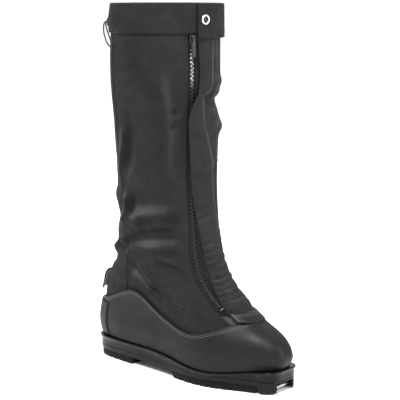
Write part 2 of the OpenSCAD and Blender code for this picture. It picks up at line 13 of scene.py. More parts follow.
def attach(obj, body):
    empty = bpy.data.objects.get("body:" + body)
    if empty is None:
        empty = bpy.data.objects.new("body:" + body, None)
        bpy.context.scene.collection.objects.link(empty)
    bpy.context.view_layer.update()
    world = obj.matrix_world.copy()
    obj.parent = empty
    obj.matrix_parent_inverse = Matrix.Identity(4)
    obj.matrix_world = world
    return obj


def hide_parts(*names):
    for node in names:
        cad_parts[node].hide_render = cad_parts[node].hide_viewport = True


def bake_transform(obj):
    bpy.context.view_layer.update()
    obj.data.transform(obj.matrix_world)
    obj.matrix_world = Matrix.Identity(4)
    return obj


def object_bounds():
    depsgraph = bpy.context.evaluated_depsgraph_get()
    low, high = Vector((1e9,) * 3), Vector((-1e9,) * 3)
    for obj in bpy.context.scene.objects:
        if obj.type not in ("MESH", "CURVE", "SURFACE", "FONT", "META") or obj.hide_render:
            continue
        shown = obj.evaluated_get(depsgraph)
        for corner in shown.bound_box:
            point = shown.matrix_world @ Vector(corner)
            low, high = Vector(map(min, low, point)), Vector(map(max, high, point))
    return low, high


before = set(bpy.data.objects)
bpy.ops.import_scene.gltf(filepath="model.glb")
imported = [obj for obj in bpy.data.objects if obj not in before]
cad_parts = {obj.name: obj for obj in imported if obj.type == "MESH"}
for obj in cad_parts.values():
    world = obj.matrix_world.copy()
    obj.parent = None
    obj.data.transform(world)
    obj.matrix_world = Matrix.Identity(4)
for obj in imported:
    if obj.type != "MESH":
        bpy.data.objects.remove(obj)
cad_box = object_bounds()
MM = 0.001

# ---- Camera ----
CAMERA_PLACE = (1006.9, -1204.4, 494.0)
CAMERA_HEADING = 39.46   # degrees that the view turns from +Y towards -X
CAMERA_PITCH = 9.59      # degrees below the horizon
CAMERA_LENS = 110.07


def make_camera():
    data = bpy.data.cameras.new("camera")
    data.lens = CAMERA_LENS
    data.sensor_width = 36.0
    data.clip_end = 1000.0
    camera = bpy.data.objects.new("camera", data)
    bpy.context.scene.collection.objects.link(camera)
    heading, pitch = math.radians(CAMERA_HEADING), math.radians(CAMERA_PITCH)
    ahead = Vector((-math.sin(heading) * math.cos(pitch), math.cos(heading) * math.cos(pitch),
                    -math.sin(pitch)))
    camera.location = Vector(CAMERA_PLACE) * MM
    camera.rotation_mode = "QUATERNION"
    camera.rotation_quaternion = ahead.to_track_quat("-Z", "Y")
    bpy.context.scene.camera = camera


make_camera()

# ---- The last: the smooth surface that every part of the upper is offset from, as in the CAD ----
# Back x and z, front x and z, half width, how foot-shaped the ring is, and its dip under the ball
STATIONS = np.array([
    [3, 29, 304, 31, 50, 1, 10],
    [-2, 50, 309, 47, 51.5, 1, 5],
    [1, 72, 297, 66, 49, 0.96, 2],
    [7, 95, 262, 86, 46, 0.8, 0],
    [16, 118, 234, 106, 44, 0.5, 0],
    [27, 142, 211, 130, 43, 0.25, 0],
    [34, 172, 196, 162, 46, 0.08, 0],
    [38, 208, 188, 204, 52, 0, 0],
    [40, 255, 183, 254, 57, 0, 0],
    [37, 325, 183, 325, 63.5, 0, 0],
    [37, 402, 182, 402, 71, 0, 0],
    [41, 482, 182, 482, 68, 0, 0]], float)
TOE_SWING = 4.0
BACKSTAY_T = 1.7


def smooth(v):
    c = np.clip(v, 0, 1)
    return c * c * (3 - 2 * c)


def bump(v, middle, spread):
    return np.exp(-(((v - middle) / spread) ** 2))


def signed_pow(v, p):
    return np.sign(v) * np.abs(v) ** p


def curve(table, u):
    """Points at shares u, 0 to 1, of the Catmull-Rom curve through a table of rows."""
    table = np.asarray(table, float)
    n = len(table) - 1
    s = np.clip(u, 0, 1) * n
    i = np.minimum(np.floor(s).astype(int), n - 1)
    f = (s - i)[..., None]
    p0, p1 = table[np.maximum(i - 1, 0)], table[i]
    p2, p3 = table[i + 1], table[np.minimum(i + 2, n)]
    return 0.5 * (2 * p1 + (p2 - p0) * f + (2 * p0 - 5 * p1 + 4 * p2 - p3) * f**2
                  + (3 * p1 - p0 - 3 * p2 + p3) * f**3)


def foot_width(u, side):
    return 0.74 + 0.26 * np.where(side < 0, bump(u, 0.68, 0.2), bump(u, 0.74, 0.17))


def upper_power(u):
    return 0.78 - 0.12 * (1 - smooth(u / 0.4)) - 0.08 * smooth((u - 0.8) / 0.2)


def sole_power(u):
    return 0.78 - 0.26 * (1 - smooth(u / 0.35)) - 0.42 * smooth((u - 0.85) / 0.13)


def raw_last(a, t, power=upper_power):
    a, t = np.broadcast_arrays(np.asarray(a, float), np.asarray(t, float))
    back_x, back_z, front_x, front_z, half_w, foot, dip = np.moveaxis(curve(STATIONS, t), -1, 0)
    cos_a, sin_a = np.cos(np.radians(a)), np.sin(np.radians(a))
    sin_a = np.where(np.abs(sin_a) < 1e-9, 0, sin_a)
    u = (1 + signed_pow(cos_a, 1 - 0.12 * foot)) / 2
    width = 1 + (foot_width(u, sin_a) - 1) * foot
    swing = foot * TOE_SWING * np.clip((u - 0.75) / 0.25, 0, 1) ** 2
    return np.stack([back_x + (front_x - back_x) * u,
                     half_w * signed_pow(sin_a, 1 - (1 - power(u)) * foot) * width + swing,
                     back_z + (front_z - back_z) * u - dip * bump(u, 0.7, 0.2)], -1)


LOW_TS = np.arange(0, 0.3001, 0.01)
MIDDLE_X = (raw_last(180, LOW_TS)[:, 0].min() - BACKSTAY_T + raw_last(0, LOW_TS)[:, 0].max()) / 2


def last(a, t):
    return raw_last(a, t) - [MIDDLE_X, 0, 0]


def unit(v):
    return v / np.maximum(np.linalg.norm(v, axis=-1, keepdims=True), 1e-12)


def normal(a, t):
    along_a = last(a + 0.7, t) - last(a - 0.7, t)
    along_t = last(a, np.minimum(t + 0.004, 1)) - last(a, np.maximum(t - 0.004, 0))
    return unit(np.cross(along_a, along_t))


def skin(a, t, h):
    """Points h outside the last."""
    a, t, h = np.broadcast_arrays(np.asarray(a, float), np.asarray(t, float), np.asarray(h, float))
    return last(a, t) + h[..., None] * normal(a, t)


def angle_at(y, t):
    return np.degrees(np.arcsin(np.clip(y / curve(STATIONS, np.asarray(t, float))[..., 4], -0.95, 0.95)))


SHAFT_TS = np.linspace(0.5, 1, 101)
SHAFT_ZS = last(0, SHAFT_TS)[:, 2]


def t_at(z):
    return float(np.interp(z, SHAFT_ZS, SHAFT_TS))


# ---- Dimensions that repeat the CAD's ----
BOOT_H = float(cad_box[1].z) / MM
TRIM_KNOTS = np.array([[0, 0.272], [40, 0.252], [62, 0.212], [81, 0.166], [92, 0.215], [101, 0.3],
                       [111, 0.331], [124, 0.294], [145, 0.232], [180, 0.212]])
CLOTH_T = 1.6
TUCK = 2.6
SHELL_T = 2.2
COLLAR_H = 37.0
T_COLLAR = t_at(BOOT_H - COLLAR_H)
T_HEM = 0.76
T_TAB = 0.312
FLAP_HALF_W = 21.0
ZIP_Y = -26.0
SLOT_W = 9.0
SEAM_A = 120.0
FLAP_OUT = 3.8
FLAP_T = 1.6
BAND_IN, BAND_OUT = 2.8, 4.2
TAB_T = 1.5
AIR = 0.3


def trim(a):
    """Top edge of the moulded shell, as a share t, at angle a."""
    b = np.abs((np.asarray(a, float) + 180) % 360 - 180)
    total = 0
    for shift, weight in ((-9, 1), (-6, 2), (-3, 3), (0, 4), (3, 3), (6, 2), (9, 1)):
        knot = np.abs(b + shift)
        knot = np.where(knot > 180, 360 - knot, knot)
        total = total + weight * np.interp(knot, TRIM_KNOTS[:, 0], TRIM_KNOTS[:, 1])
    return total / 16


# ---- Folds of the cloth: strokes on the last, each with a depth, a width and the points it runs through ----
def stroke(points):
    """A smooth line on the last through (angle, t) points, as points."""
    line = curve(points, np.linspace(0, 1, 28))
    return last(line[:, 0], line[:, 1])


FOLD_GAIN = 2.0
FOLDS = [
    # depth out of the cloth (mm), width (mm), how sharp (1 soft, 2 creased), points (angle, t)
    (-4.2, 6.0, 1.0, [(-116, 0.548), (-98, 0.574), (-82, 0.588), (-66, 0.598), (-50, 0.598), (-34, 0.585)]),
    (2.6, 9.0, 1.0, [(-118, 0.612), (-96, 0.64), (-76, 0.655), (-56, 0.66), (-40, 0.645)]),
    (2.2, 7.0, 1.0, [(-96, 0.54), (-76, 0.556), (-58, 0.563), (-44, 0.555)]),
    (-2.8, 7.0, 1.0, [(-49, 0.683), (-43, 0.642), (-37, 0.6), (-36, 0.56), (-37, 0.52)]),
    (3.0, 5.0, 1.6, [(-80, 0.52), (-68, 0.51), (-57, 0.498), (-48, 0.462), (-42, 0.43), (-42, 0.385)]),
    (-3.2, 5.5, 1.0, [(-78, 0.498), (-64, 0.487), (-53, 0.46), (-47, 0.425), (-46, 0.38)]),
    (2.8, 4.0, 1.8, [(-118, 0.505), (-104, 0.452), (-92, 0.388), (-81, 0.343), (-71, 0.31), (-62, 0.285)]),
    (-3.6, 6.0, 1.0, [(-116, 0.48), (-101, 0.425), (-89, 0.364), (-79, 0.326), (-70, 0.296)]),
    (2.4, 9.0, 1.0, [(-112, 0.44), (-98, 0.39), (-90, 0.35)]),
    (2.6, 7.0, 1.0, [(-136, 0.54), (-126, 0.552), (-112, 0.55)]),
    (-3.0, 6.0, 1.0, [(-150, 0.515), (-134, 0.522), (-118, 0.528)]),
    (2.6, 7.0, 1.2, [(-108, 0.705), (-110, 0.68), (-114, 0.645), (-134, 0.6)]),
    (-2.0, 7.0, 1.0, [(-98, 0.7), (-100, 0.665), (-106, 0.635)]),
    (2.0, 7.0, 1.2, [(-105, 0.82), (-107, 0.79), (-122, 0.745)]),
    (-2.0, 9.0, 1.0, [(-96, 0.83), (-99, 0.78), (-110, 0.74)]),
    (-1.8, 11.0, 1.0, [(-86, 0.945), (-72, 0.894), (-56, 0.845), (-52, 0.781), (-61, 0.703)]),
    (1.5, 9.0, 1.0, [(-47, 0.907), (-45, 0.833), (-48, 0.733)]),
    (-1.6, 4.0, 1.0, [(-44, 0.85), (-40, 0.843), (-37, 0.845)]),
    (-1.5, 4.0, 1.0, [(-46, 0.826), (-42, 0.821), (-39, 0.823)]),
    (-6.5, 8.5, 1.0, [(-14, 0.866), (0, 0.86), (16, 0.855), (34, 0.853), (52, 0.858)]),
    (2.0, 8.0, 1.0, [(0, 0.89), (16, 0.888), (34, 0.888)]),
    (2.4, 9.0, 1.0, [(6, 0.822), (20, 0.818), (38, 0.82)]),
    (2.0, 9.0, 1.0, [(60, 0.9), (70, 0.86), (90, 0.82)]),
    (-3.0, 9.0, 1.0, [(56, 0.86), (76, 0.835), (98, 0.8)]),
    (-3.4, 7.0, 1.0, [(150, 0.47), (180, 0.455), (208, 0.47)]),
    (2.8, 8.0, 1.0, [(140, 0.5), (180, 0.492), (220, 0.505)]),
    (-3.2, 7.0, 1.0, [(128, 0.56), (160, 0.55), (190, 0.535)]),
    (2.6, 9.0, 1.0, [(126, 0.6), (160, 0.6), (200, 0.575)]),
    (-2.4, 9.0, 1.0, [(172, 0.66), (205, 0.64), (228, 0.61)]),
    (2.0, 10.0, 1.0, [(150, 0.7), (190, 0.7), (222, 0.66)]),
    (-1.8, 12.0, 1.0, [(150, 0.93), (156, 0.85), (150, 0.76)]),
    (1.8, 12.0, 1.0, [(182, 0.92), (188, 0.83), (180, 0.74)]),
    (-1.8, 12.0, 1.0, [(212, 0.93), (216, 0.85), (208, 0.76)]),
]


def folds(a, t):
    """How far the cloth stands out of the smooth shaft, in mm."""
    a, t = np.broadcast_arrays(np.asarray(a, float), np.asarray(t, float))
    shape = a.shape
    points = last(a, t).reshape(-1, 3)
    total = np.zeros(len(points))
    for depth, width, sharp, knots in FOLDS:
        line = stroke(knots)
        best = np.full(len(points), 1e9)
        share = np.zeros(len(points))
        low, high = line.min(0) - 4 * width, line.max(0) + 4 * width
        near = np.nonzero(np.all((points > low) & (points < high), 1))[0]
        for k in range(len(line) - 1):
            p, q = line[k], line[k + 1]
            f = np.clip(((points[near] - p) @ (q - p)) / max((q - p) @ (q - p), 1e-9), 0, 1)
            d = np.linalg.norm(points[near] - (p + f[:, None] * (q - p)), axis=1)
            closer = d < best[near]
            best[near[closer]] = d[closer]
            share[near[closer]] = ((k + f) / (len(line) - 1))[closer]
        ends = smooth(share / 0.3) * smooth((1 - share) / 0.3)
        total += FOLD_GAIN * depth * (0.25 + 0.75 * ends) * np.exp(-((best / width) ** (2 / sharp)))
    total = total.reshape(shape)
    room = 3.6 + 8 * smooth((t - 0.61) / 0.06)   # below this the inner boot is in the way
    total = np.where(total < 0, -room * np.tanh(-total / room), total)
    ripple = (0.35 * np.sin(np.radians(5 * a) + 9 * t) * np.sin(21 * t + np.radians(2 * a))
              + 0.22 * np.sin(np.radians(11 * a) - 26 * t) + 0.16 * np.sin(np.radians(17 * a) + 61 * t))
    points = points.reshape(shape + (3,))
    zip_clear = smooth((np.abs(points[..., 1] - ZIP_Y) - 4.5) / 16)
    zip_clear = np.where((points[..., 0] > -10) & (t > 0.3), zip_clear, 1)
    near_trim = smooth((t - trim(a) - 0.01) / 0.05)
    near_rim = smooth((T_COLLAR - 0.004 - t) / 0.04)
    return (total + ripple) * zip_clear * near_trim * near_rim


def cloth_height(a, t):
    """Outer face of the gaiter's cloth."""
    return -TUCK * (1 - smooth((t - trim(a)) / 0.1)) + folds(a, t)


def flat_cloth_height(a, t):
    return -TUCK * (1 - smooth((t - trim(a)) / 0.1))


# ---- Meshes ----
def add_object(name, verts, faces, uvs=None):
    """Object from points in mm. uvs holds one pair for each corner of each face, in metres."""
    mesh = bpy.data.meshes.new(name)
    mesh.from_pydata((np.asarray(verts, float) * MM).tolist(), [], faces)
    if uvs is not None:
        layer = mesh.uv_layers.new(name="UVMap")
        layer.data.foreach_set("uv", (np.asarray(uvs, float) * MM).ravel())
    mesh.polygons.foreach_set("use_smooth", [True] * len(mesh.polygons))
    mesh.update()
    piece = bpy.data.objects.new(name, mesh)
    bpy.context.scene.collection.objects.link(piece)
    return piece


def bake_modifiers(piece, sharp=None):
    """Applies the modifiers. sharp is the angle in degrees above which an edge looks sharp."""
    bpy.context.view_layer.update()
    mesh = bpy.data.meshes.new_from_object(piece.evaluated_get(bpy.context.evaluated_depsgraph_get()))
    mesh.name = piece.name
    piece.modifiers.clear()
    old = piece.data
    piece.data = mesh
    bpy.data.meshes.remove(old)
    mesh.polygons.foreach_set("use_smooth", [True] * len(mesh.polygons))
    if sharp:
        mesh.set_sharp_from_angle(angle=math.radians(sharp))
    mesh.update()
    return piece


def grid_object(name, grid, closed=False, uv=None):
    """Surface through a grid of points: rows go up, columns go round, faces look outward."""
    rows, cols = grid.shape[:2]
    index = np.arange(rows * cols).reshape(rows, cols)
    right = np.roll(index, -1, 1) if closed else index[:, 1:]
    left = index if closed else index[:, :-1]
    faces = np.stack([left[:-1], right[:-1], right[1:], left[1:]], -1).reshape(-1, 4)
    if uv is None:
        wide = np.concatenate([grid, grid[:, :1]], 1) if closed else grid
        across = np.linalg.norm(np.diff(wide, axis=1), axis=-1)
        up = np.linalg.norm(np.diff(grid, axis=0), axis=-1)
        u = np.concatenate([np.zeros((rows, 1)), np.cumsum(across, 1)], 1)
        u = u - u.mean(1, keepdims=True)
        v = np.concatenate([np.zeros((1, cols)), np.cumsum(up, 0)], 0)
        v = np.concatenate([v, v[:, :1]], 1) if closed else v
        uv = np.stack([u, v], -1)
    corners = np.stack([uv[:-1, :-1], uv[:-1, 1:], uv[1:, 1:], uv[1:, :-1]], 2).reshape(-1, 2)
    return add_object(name, grid.reshape(-1, 3), faces.tolist(), corners)


def thicken(piece, thickness, levels=1):
    """Gives a surface its thickness inward and rounds its edges."""
    solid = piece.modifiers.new("thickness", "SOLIDIFY")
    solid.thickness = thickness * MM
    solid.offset = -1
    solid.use_even_offset = False
    if levels:
        rounding = piece.modifiers.new("rounding", "SUBSURF")
        rounding.levels = rounding.render_levels = levels
    return bake_modifiers(piece)


def as_function(value):
    return value if callable(value) else (lambda any_value: np.full(np.shape(any_value), float(value)))


def patch(a_low, a_high, t_low, t_high, across, up):
    """Angles and shares of a grid on the last. Angle limits depend on t, and t's limits on the angle."""
    a_low, a_high, t_low, t_high = map(as_function, (a_low, a_high, t_low, t_high))
    i = np.linspace(0, 1, up + 1)[:, None]
    j = np.linspace(0, 1, across + 1)[None, :]
    foot = t_low(np.zeros((1, 1)))
    guess = a_low(foot) + (a_high(foot) - a_low(foot)) * j
    t = t_low(guess) + (t_high(guess) - t_low(guess)) * i
    return a_low(t) + (a_high(t) - a_low(t)) * j, t


def line_at(y):
    return lambda t: angle_at(y(t) if callable(y) else y, t)


def rolled(a, t, roll=0.5, edge=1.0):
    """How far a sheet dips at its own four edges, so that two sheets meet in a seam."""
    rows, cols = a.shape
    points = last(a, t)
    across = np.linalg.norm(np.diff(points, axis=1), axis=-1).mean()
    up = np.linalg.norm(np.diff(points, axis=0), axis=-1).mean()
    i = np.minimum(np.arange(rows), np.arange(rows)[::-1])[:, None] * up
    j = np.minimum(np.arange(cols), np.arange(cols)[::-1])[None, :] * across
    return -roll * np.exp(-((np.minimum(i, j) / edge) ** 2))


def join_parts(name, parts):
    """One object from (points, faces) parts, in mm."""
    verts, faces, start = [], [], 0
    for points, part_faces in parts:
        verts.append(np.asarray(points, float))
        faces.extend([[start + k for k in face] for face in part_faces])
        start += len(points)
    return add_object(name, np.concatenate(verts), faces)


def ring_faces(rings, sides, caps=True):
    faces = []
    for i in range(rings - 1):
        for k in range(sides):
            m = (k + 1) % sides
            faces.append([i * sides + k, i * sides + m, (i + 1) * sides + m, (i + 1) * sides + k])
    if caps:
        faces.append(list(range(sides))[::-1])
        faces.append([(rings - 1) * sides + k for k in range(sides)])
    return faces


def path_frames(path):
    """Tangents and two carried normals along a list of points."""
    ahead = unit(np.gradient(path, axis=0))
    first = np.array([0, 0, 1.0]) if abs(ahead[0, 2]) < 0.9 else np.array([0, 1.0, 0])
    side = unit(np.cross(ahead[0], first))
    sides = []
    for d in ahead:
        side = unit(side - (side @ d) * d)
        sides.append(side)
    sides = np.array(sides)
    return ahead, sides, np.cross(ahead, sides)


def tube(name, path, radius, sides=12, swell=None):
    """Round cord along a path in mm, with UVs along and round it."""
    path = np.asarray(path, float)
    _, across, up = path_frames(path)
    b = np.linspace(0, 2 * np.pi, sides, endpoint=False)
    r = radius * (np.ones(len(path)) if swell is None else swell)
    rings = path[:, None] + r[:, None, None] * (np.cos(b)[None, :, None] * across[:, None]
                                                + np.sin(b)[None, :, None] * up[:, None])
    along = np.concatenate([[0], np.cumsum(np.linalg.norm(np.diff(path, axis=0), axis=1))])
    faces = ring_faces(len(path), sides)
    step = 2 * np.pi * radius / sides
    uvs = []
    for i in range(len(path) - 1):
        for k in range(sides):
            uvs += [(k * step, along[i]), ((k + 1) * step, along[i]), ((k + 1) * step, along[i + 1]),
                    (k * step, along[i + 1])]
    uvs += [(0, 0)] * (2 * sides)
    return add_object(name, rings.reshape(-1, 3), faces, uvs)


def lathe(profile, matrix, segments=64):
    """(points, faces) of a turned shape. profile lists (radius, height); matrix places it."""
    profile = np.asarray(profile, float)
    b = np.linspace(0, 2 * np.pi, segments, endpoint=False)
    points = np.stack([profile[:, :1] * np.cos(b), profile[:, :1] * np.sin(b),
                       np.repeat(profile[:, 1:], segments, 1)], -1).reshape(-1, 3)
    return place(points, matrix), ring_faces(len(profile), segments)


def place(points, matrix):
    m = np.asarray(matrix, float)
    return points @ m[:3, :3].T + m[:3, 3]


def rounded_box(centre, size, radius, matrix=np.eye(4), taper=(1, 1), steps=2):
    """(points, faces) of a box with rounded edges. taper shrinks its top along x and y."""
    bm = bmesh.new()
    bmesh.ops.create_cube(bm, size=1.0)
    for v in bm.verts:
        scale = taper if v.co.z > 0 else (1, 1)
        v.co = Vector((v.co.x * size[0] * scale[0], v.co.y * size[1] * scale[1], v.co.z * size[2]))
    bmesh.ops.bevel(bm, geom=bm.edges[:], offset=radius, segments=steps, affect="EDGES", profile=0.5)
    bm.verts.index_update()
    points = np.array([v.co for v in bm.verts]) + np.asarray(centre, float)
    faces = [[v.index for v in f.verts] for f in bm.faces]
    bm.free()
    return place(points, matrix), faces


def frame_matrix(x, y, z, origin):
    m = np.eye(4)
    m[:3, 0], m[:3, 1], m[:3, 2], m[:3, 3] = x, y, z, origin
    return m


def facing(n, origin):
    """Frame whose +Z is the direction n and whose +X is level."""
    side = unit(np.cross([0, 0, 1.0], n))
    return frame_matrix(side, np.cross(n, side), n, origin)


def stitches(name, points, normals, shift=0.0, pitch=3.6, length=2.6, width=0.8, sink=0.15):
    """A row of thread stitches beside a line on a surface. shift moves the row to the side."""
    points, normals = np.asarray(points, float), unit(np.asarray(normals, float))
    ahead = unit(np.gradient(points, axis=0))
    points = points + shift * unit(np.cross(normals, ahead))
    along = np.concatenate([[0], np.cumsum(np.linalg.norm(np.diff(points, axis=0), axis=1))])
    centres = np.arange(pitch / 2, along[-1], pitch)
    at = np.stack([np.interp(centres, along, points[:, k]) for k in range(3)], -1)
    up = unit(np.stack([np.interp(centres, along, normals[:, k]) for k in range(3)], -1))
    d = unit(np.stack([np.interp(centres, along, ahead[:, k]) for k in range(3)], -1))
    side = unit(np.cross(up, d))
    sides = 6
    b = np.linspace(0, 2 * np.pi, sides, endpoint=False)
    stations = [(-0.5, 0.25, -0.35), (-0.38, 0.8, -0.05), (0, 1, 0.1), (0.38, 0.8, -0.05), (0.5, 0.25, -0.35)]
    parts = []
    for c, n, f, s in zip(at, up, d, side):
        rings = [c + f * share * length + n * (lift * width - sink + width / 4)
                 + thick * width / 2 * (np.cos(b)[:, None] * s + np.sin(b)[:, None] * n)
                 for share, thick, lift in stations]
        parts.append((np.concatenate(rings), ring_faces(len(stations), sides)))
    return join_parts(name, parts)


def cut(piece, parts):
    """Cuts closed parts, given as (points, faces) in mm, out of a piece."""
    cutter = join_parts("cutter", parts)
    boolean = piece.modifiers.new("cut", "BOOLEAN")
    boolean.object = cutter
    boolean.operation = "DIFFERENCE"
    boolean.solver = "EXACT"
    bake_modifiers(piece)
    data = cutter.data
    bpy.data.objects.remove(cutter)
    bpy.data.meshes.remove(data)
    return piece


def soften(piece, width, angle=35, steps=2):
    """Rounds the sharp edges of a cut shape."""
    bevel = piece.modifiers.new("edges", "BEVEL")
    bevel.width = width * MM
    bevel.segments = steps
    bevel.limit_method = "ANGLE"
    bevel.angle_limit = math.radians(angle)
    bevel.use_clamp_overlap = True
    return bake_modifiers(piece, sharp=50)


# ---- Materials ----
class Look:
    """A procedural material, put together from a few kinds of node. Distances in it are metres."""

    def __init__(self, name, **uniform):
        self.material = bpy.data.materials.new(name)
        self.material.use_nodes = True
        self.tree = self.material.node_tree
        self.shader = self.tree.nodes["Principled BSDF"]
        for socket, value in uniform.items():
            self.shader.inputs[socket.replace("_", " ")].default_value = value
        self.coordinates = self.tree.nodes.new("ShaderNodeTexCoord")
        self.last_bump = None

    def node(self, kind, inputs, output=0, **settings):
        node = self.tree.nodes.new(kind)
        for key, value in settings.items():
            setattr(node, key, value)
        for key, value in inputs.items():
            if isinstance(value, bpy.types.NodeSocket):
                self.tree.links.new(value, node.inputs[key])
            else:
                node.inputs[key].default_value = value
        return node.outputs[output]

    def space(self, name="Object", stretch=(1, 1, 1)):
        return self.node("ShaderNodeMapping", {"Vector": self.coordinates.outputs[name], "Scale": stretch})

    def noise(self, size, detail=3.0, roughness=0.55, **where):
        """Noise from 0 to 1 with patches of about that size in metres."""
        return self.node("ShaderNodeTexNoise", {"Vector": self.space(**where), "Scale": 1 / size,
                                                "Detail": detail, "Roughness": roughness})

    def cells(self, size, **where):
        return self.node("ShaderNodeTexVoronoi", {"Vector": self.space(**where), "Scale": 1 / size})

    def math(self, operation, a, b=0.0):
        return self.node("ShaderNodeMath", {0: a, 1: b}, operation=operation)

    def between(self, value, low, high, to_low=0.0, to_high=1.0):
        return self.node("ShaderNodeMapRange", {0: value, 1: low, 2: high, 3: to_low, 4: to_high})

    def mix(self, factor, a, b):
        return self.node("ShaderNodeMix", {0: factor, 6: (*a, 1) if isinstance(a, tuple) else a,
                                           7: (*b, 1) if isinstance(b, tuple) else b}, output=2,
                         data_type="RGBA")

    def mottled(self, dark, light, size, spread=(0.3, 0.7), **noise):
        """Two colours that change in soft patches."""
        return self.mix(self.between(self.noise(size, **noise), *spread), dark, light)

    def uneven_roughness(self, low, high, size, **noise):
        self.roughness(self.between(self.noise(size, **noise), 0.3, 0.7, low, high))

    def uv(self, axis):
        return self.node("ShaderNodeSeparateXYZ", {0: self.coordinates.outputs["UV"]}, output=axis)

    def height_above_ground(self):
        return self.node("ShaderNodeSeparateXYZ", {0: self.coordinates.outputs["Object"]}, output=2)

    def wave(self, axis, pitch, shift=0.0):
        """Sine from -1 to 1 along the cloth's own u (0) or v (1)."""
        turn = self.math("MULTIPLY_ADD", self.uv(axis), 2 * math.pi / pitch)
        turn.node.inputs[2].default_value = shift
        return self.math("SINE", turn)

    def weave(self, pitch):
        """Plain weave: threads that go over and under, from -1 to 1."""
        return self.math("MULTIPLY", self.wave(0, pitch), self.wave(1, pitch))

    def colour(self, value):
        self.tree.links.new(value, self.shader.inputs["Base Color"])

    def roughness(self, value):
        self.tree.links.new(value, self.shader.inputs["Roughness"])

    def bump(self, height, distance, strength=1.0):
        """Adds relief: distance is how tall it is in metres for a height from 0 to 1."""
        inputs = {"Height": height, "Distance": distance, "Strength": strength}
        if self.last_bump is not None:
            inputs["Normal"] = self.last_bump
        self.last_bump = self.node("ShaderNodeBump", inputs)
        self.tree.links.new(self.last_bump, self.shader.inputs["Normal"])


def cloth_look(name, dark, light, pitch=0.0009, rough=(0.62, 0.82), relief=0.00022, worn=(0.03, 0.03, 0.031),
               creased=False):
    """Tightly woven nylon with a faint colour variation; creased cloth carries painted shade in the hollows
    of its folds and on faces turned away from the light, and a painted highlight on crests and on faces
    turned up towards it.
    """
    look = Look(name, Specular_IOR_Level=0.15)
    patches = look.noise(0.035, detail=5)
    fine = look.noise(0.0011, detail=2)
    base = look.mix(look.between(patches, 0.3, 0.7), dark, light)
    base = look.mix(look.between(fine, 0.55, 0.9, 0, 0.35), base, worn)
    if creased:
        # Painted light on the folds: low values of lift darken the colour (painted shade), high values
        # lighten it (painted highlight).
        lift = look.node("ShaderNodeAttribute", {}, output=2, attribute_name="lift")
        base = look.mix(look.between(lift, 0.42, 0.05), base, (0.0035, 0.0035, 0.0039))
        base = look.mix(look.between(lift, 0.5, 1.0, 0, 0.8), base, (0.05, 0.05, 0.052))
    look.colour(base)
    look.uneven_roughness(*rough, 0.012, detail=4)
    look.bump(look.noise(0.018, detail=4), 0.0011, 0.5)
    look.bump(look.noise(0.0035, detail=4, roughness=0.6), 0.00035, 0.5)
    look.bump(look.weave(pitch), relief, 0.6)
    return look.material


def knit_look(name):
    look = Look(name, Specular_IOR_Level=0.15)
    base = look.mottled((0.01, 0.01, 0.011), (0.018, 0.018, 0.0195), 0.01, detail=4)
    look.colour(base)
    look.uneven_roughness(0.72, 0.9, 0.004)
    look.bump(look.wave(0, 0.0012), 0.00022, 0.6)
    look.bump(look.noise(0.0016, detail=3), 0.0002, 0.6)
    return look.material


def leather_look():
    """Polyurethane-coated leather: smooth and satin, with a fine pebble and faint scuffs."""
    look = Look("coated_leather", Specular_IOR_Level=0.16, Coat_Weight=0.02, Coat_Roughness=0.35)
    patches = look.noise(0.06, detail=4)
    scuffs = look.between(look.noise(0.006, detail=6, stretch=(1, 1, 3)), 0.62, 0.8)
    base = look.mix(look.between(patches, 0.3, 0.7), (0.0045, 0.0045, 0.0048), (0.0075, 0.0075, 0.0080))
    look.colour(look.mix(look.math("MULTIPLY", scuffs, 0.3), base, (0.035, 0.035, 0.036)))
    look.uneven_roughness(0.4, 0.56, 0.02, detail=5)
    look.bump(look.cells(0.0009), 0.00005, 0.45)
    look.bump(look.noise(0.012, detail=4), 0.0004, 0.3)
    look.bump(look.noise(0.0004, detail=2), 0.00002, 0.4)
    return look.material


def gloss_look():
    """Injected polyurethane with a mirror skin, dusty low down."""
    look = Look("sole_gloss", Specular_IOR_Level=0.08, Coat_Weight=0.16, Coat_Roughness=0.07)
    dust = look.math("MULTIPLY", look.between(look.noise(0.02, detail=6), 0.5, 0.75),
                     look.between(look.height_above_ground(), 0.045, 0.004))
    base = look.mottled((0.0015, 0.0015, 0.0017), (0.003, 0.003, 0.0033), 0.05)
    look.colour(look.mix(look.math("MULTIPLY", dust, 0.3), base, (0.015, 0.0145, 0.014)))
    look.roughness(look.math("ADD", look.between(look.noise(0.008, detail=5), 0.3, 0.7, 0.14, 0.24),
                             look.math("MULTIPLY", dust, 0.25)))
    look.bump(look.noise(0.01, detail=3), 0.0002, 0.25)
    return look.material


def rubber_look():
    look = Look("tread_rubber", Specular_IOR_Level=0.1)
    worn = look.math("MULTIPLY", look.between(look.height_above_ground(), 0.004, 0.0),
                     look.between(look.noise(0.006, detail=5), 0.35, 0.65))
    base = look.mottled((0.003, 0.003, 0.003), (0.006, 0.006, 0.006), 0.02, detail=4)
    look.colour(look.mix(look.math("MULTIPLY", worn, 0.5), base, (0.035, 0.034, 0.033)))
    look.uneven_roughness(0.45, 0.7, 0.005, detail=5)
    look.bump(look.noise(0.0012, detail=4), 0.00012, 0.6)
    return look.material


def metal_look(name, dark, light, rough):
    look = Look(name, Metallic=1.0)
    look.colour(look.mottled(dark, light, 0.004, detail=5, spread=(0.35, 0.65)))
    look.uneven_roughness(*rough, 0.0015, detail=4, stretch=(1, 6, 1))
    look.bump(look.noise(0.0006, detail=3, stretch=(1, 8, 1)), 0.00003, 0.4)
    return look.material


def plastic_look(name, dark, light, rough=(0.28, 0.42)):
    look = Look(name, Specular_IOR_Level=0.3)
    look.colour(look.mottled(dark, light, 0.006, detail=4))
    look.uneven_roughness(*rough, 0.003, detail=4)
    look.bump(look.noise(0.0008, detail=2), 0.00004, 0.5)
    return look.material


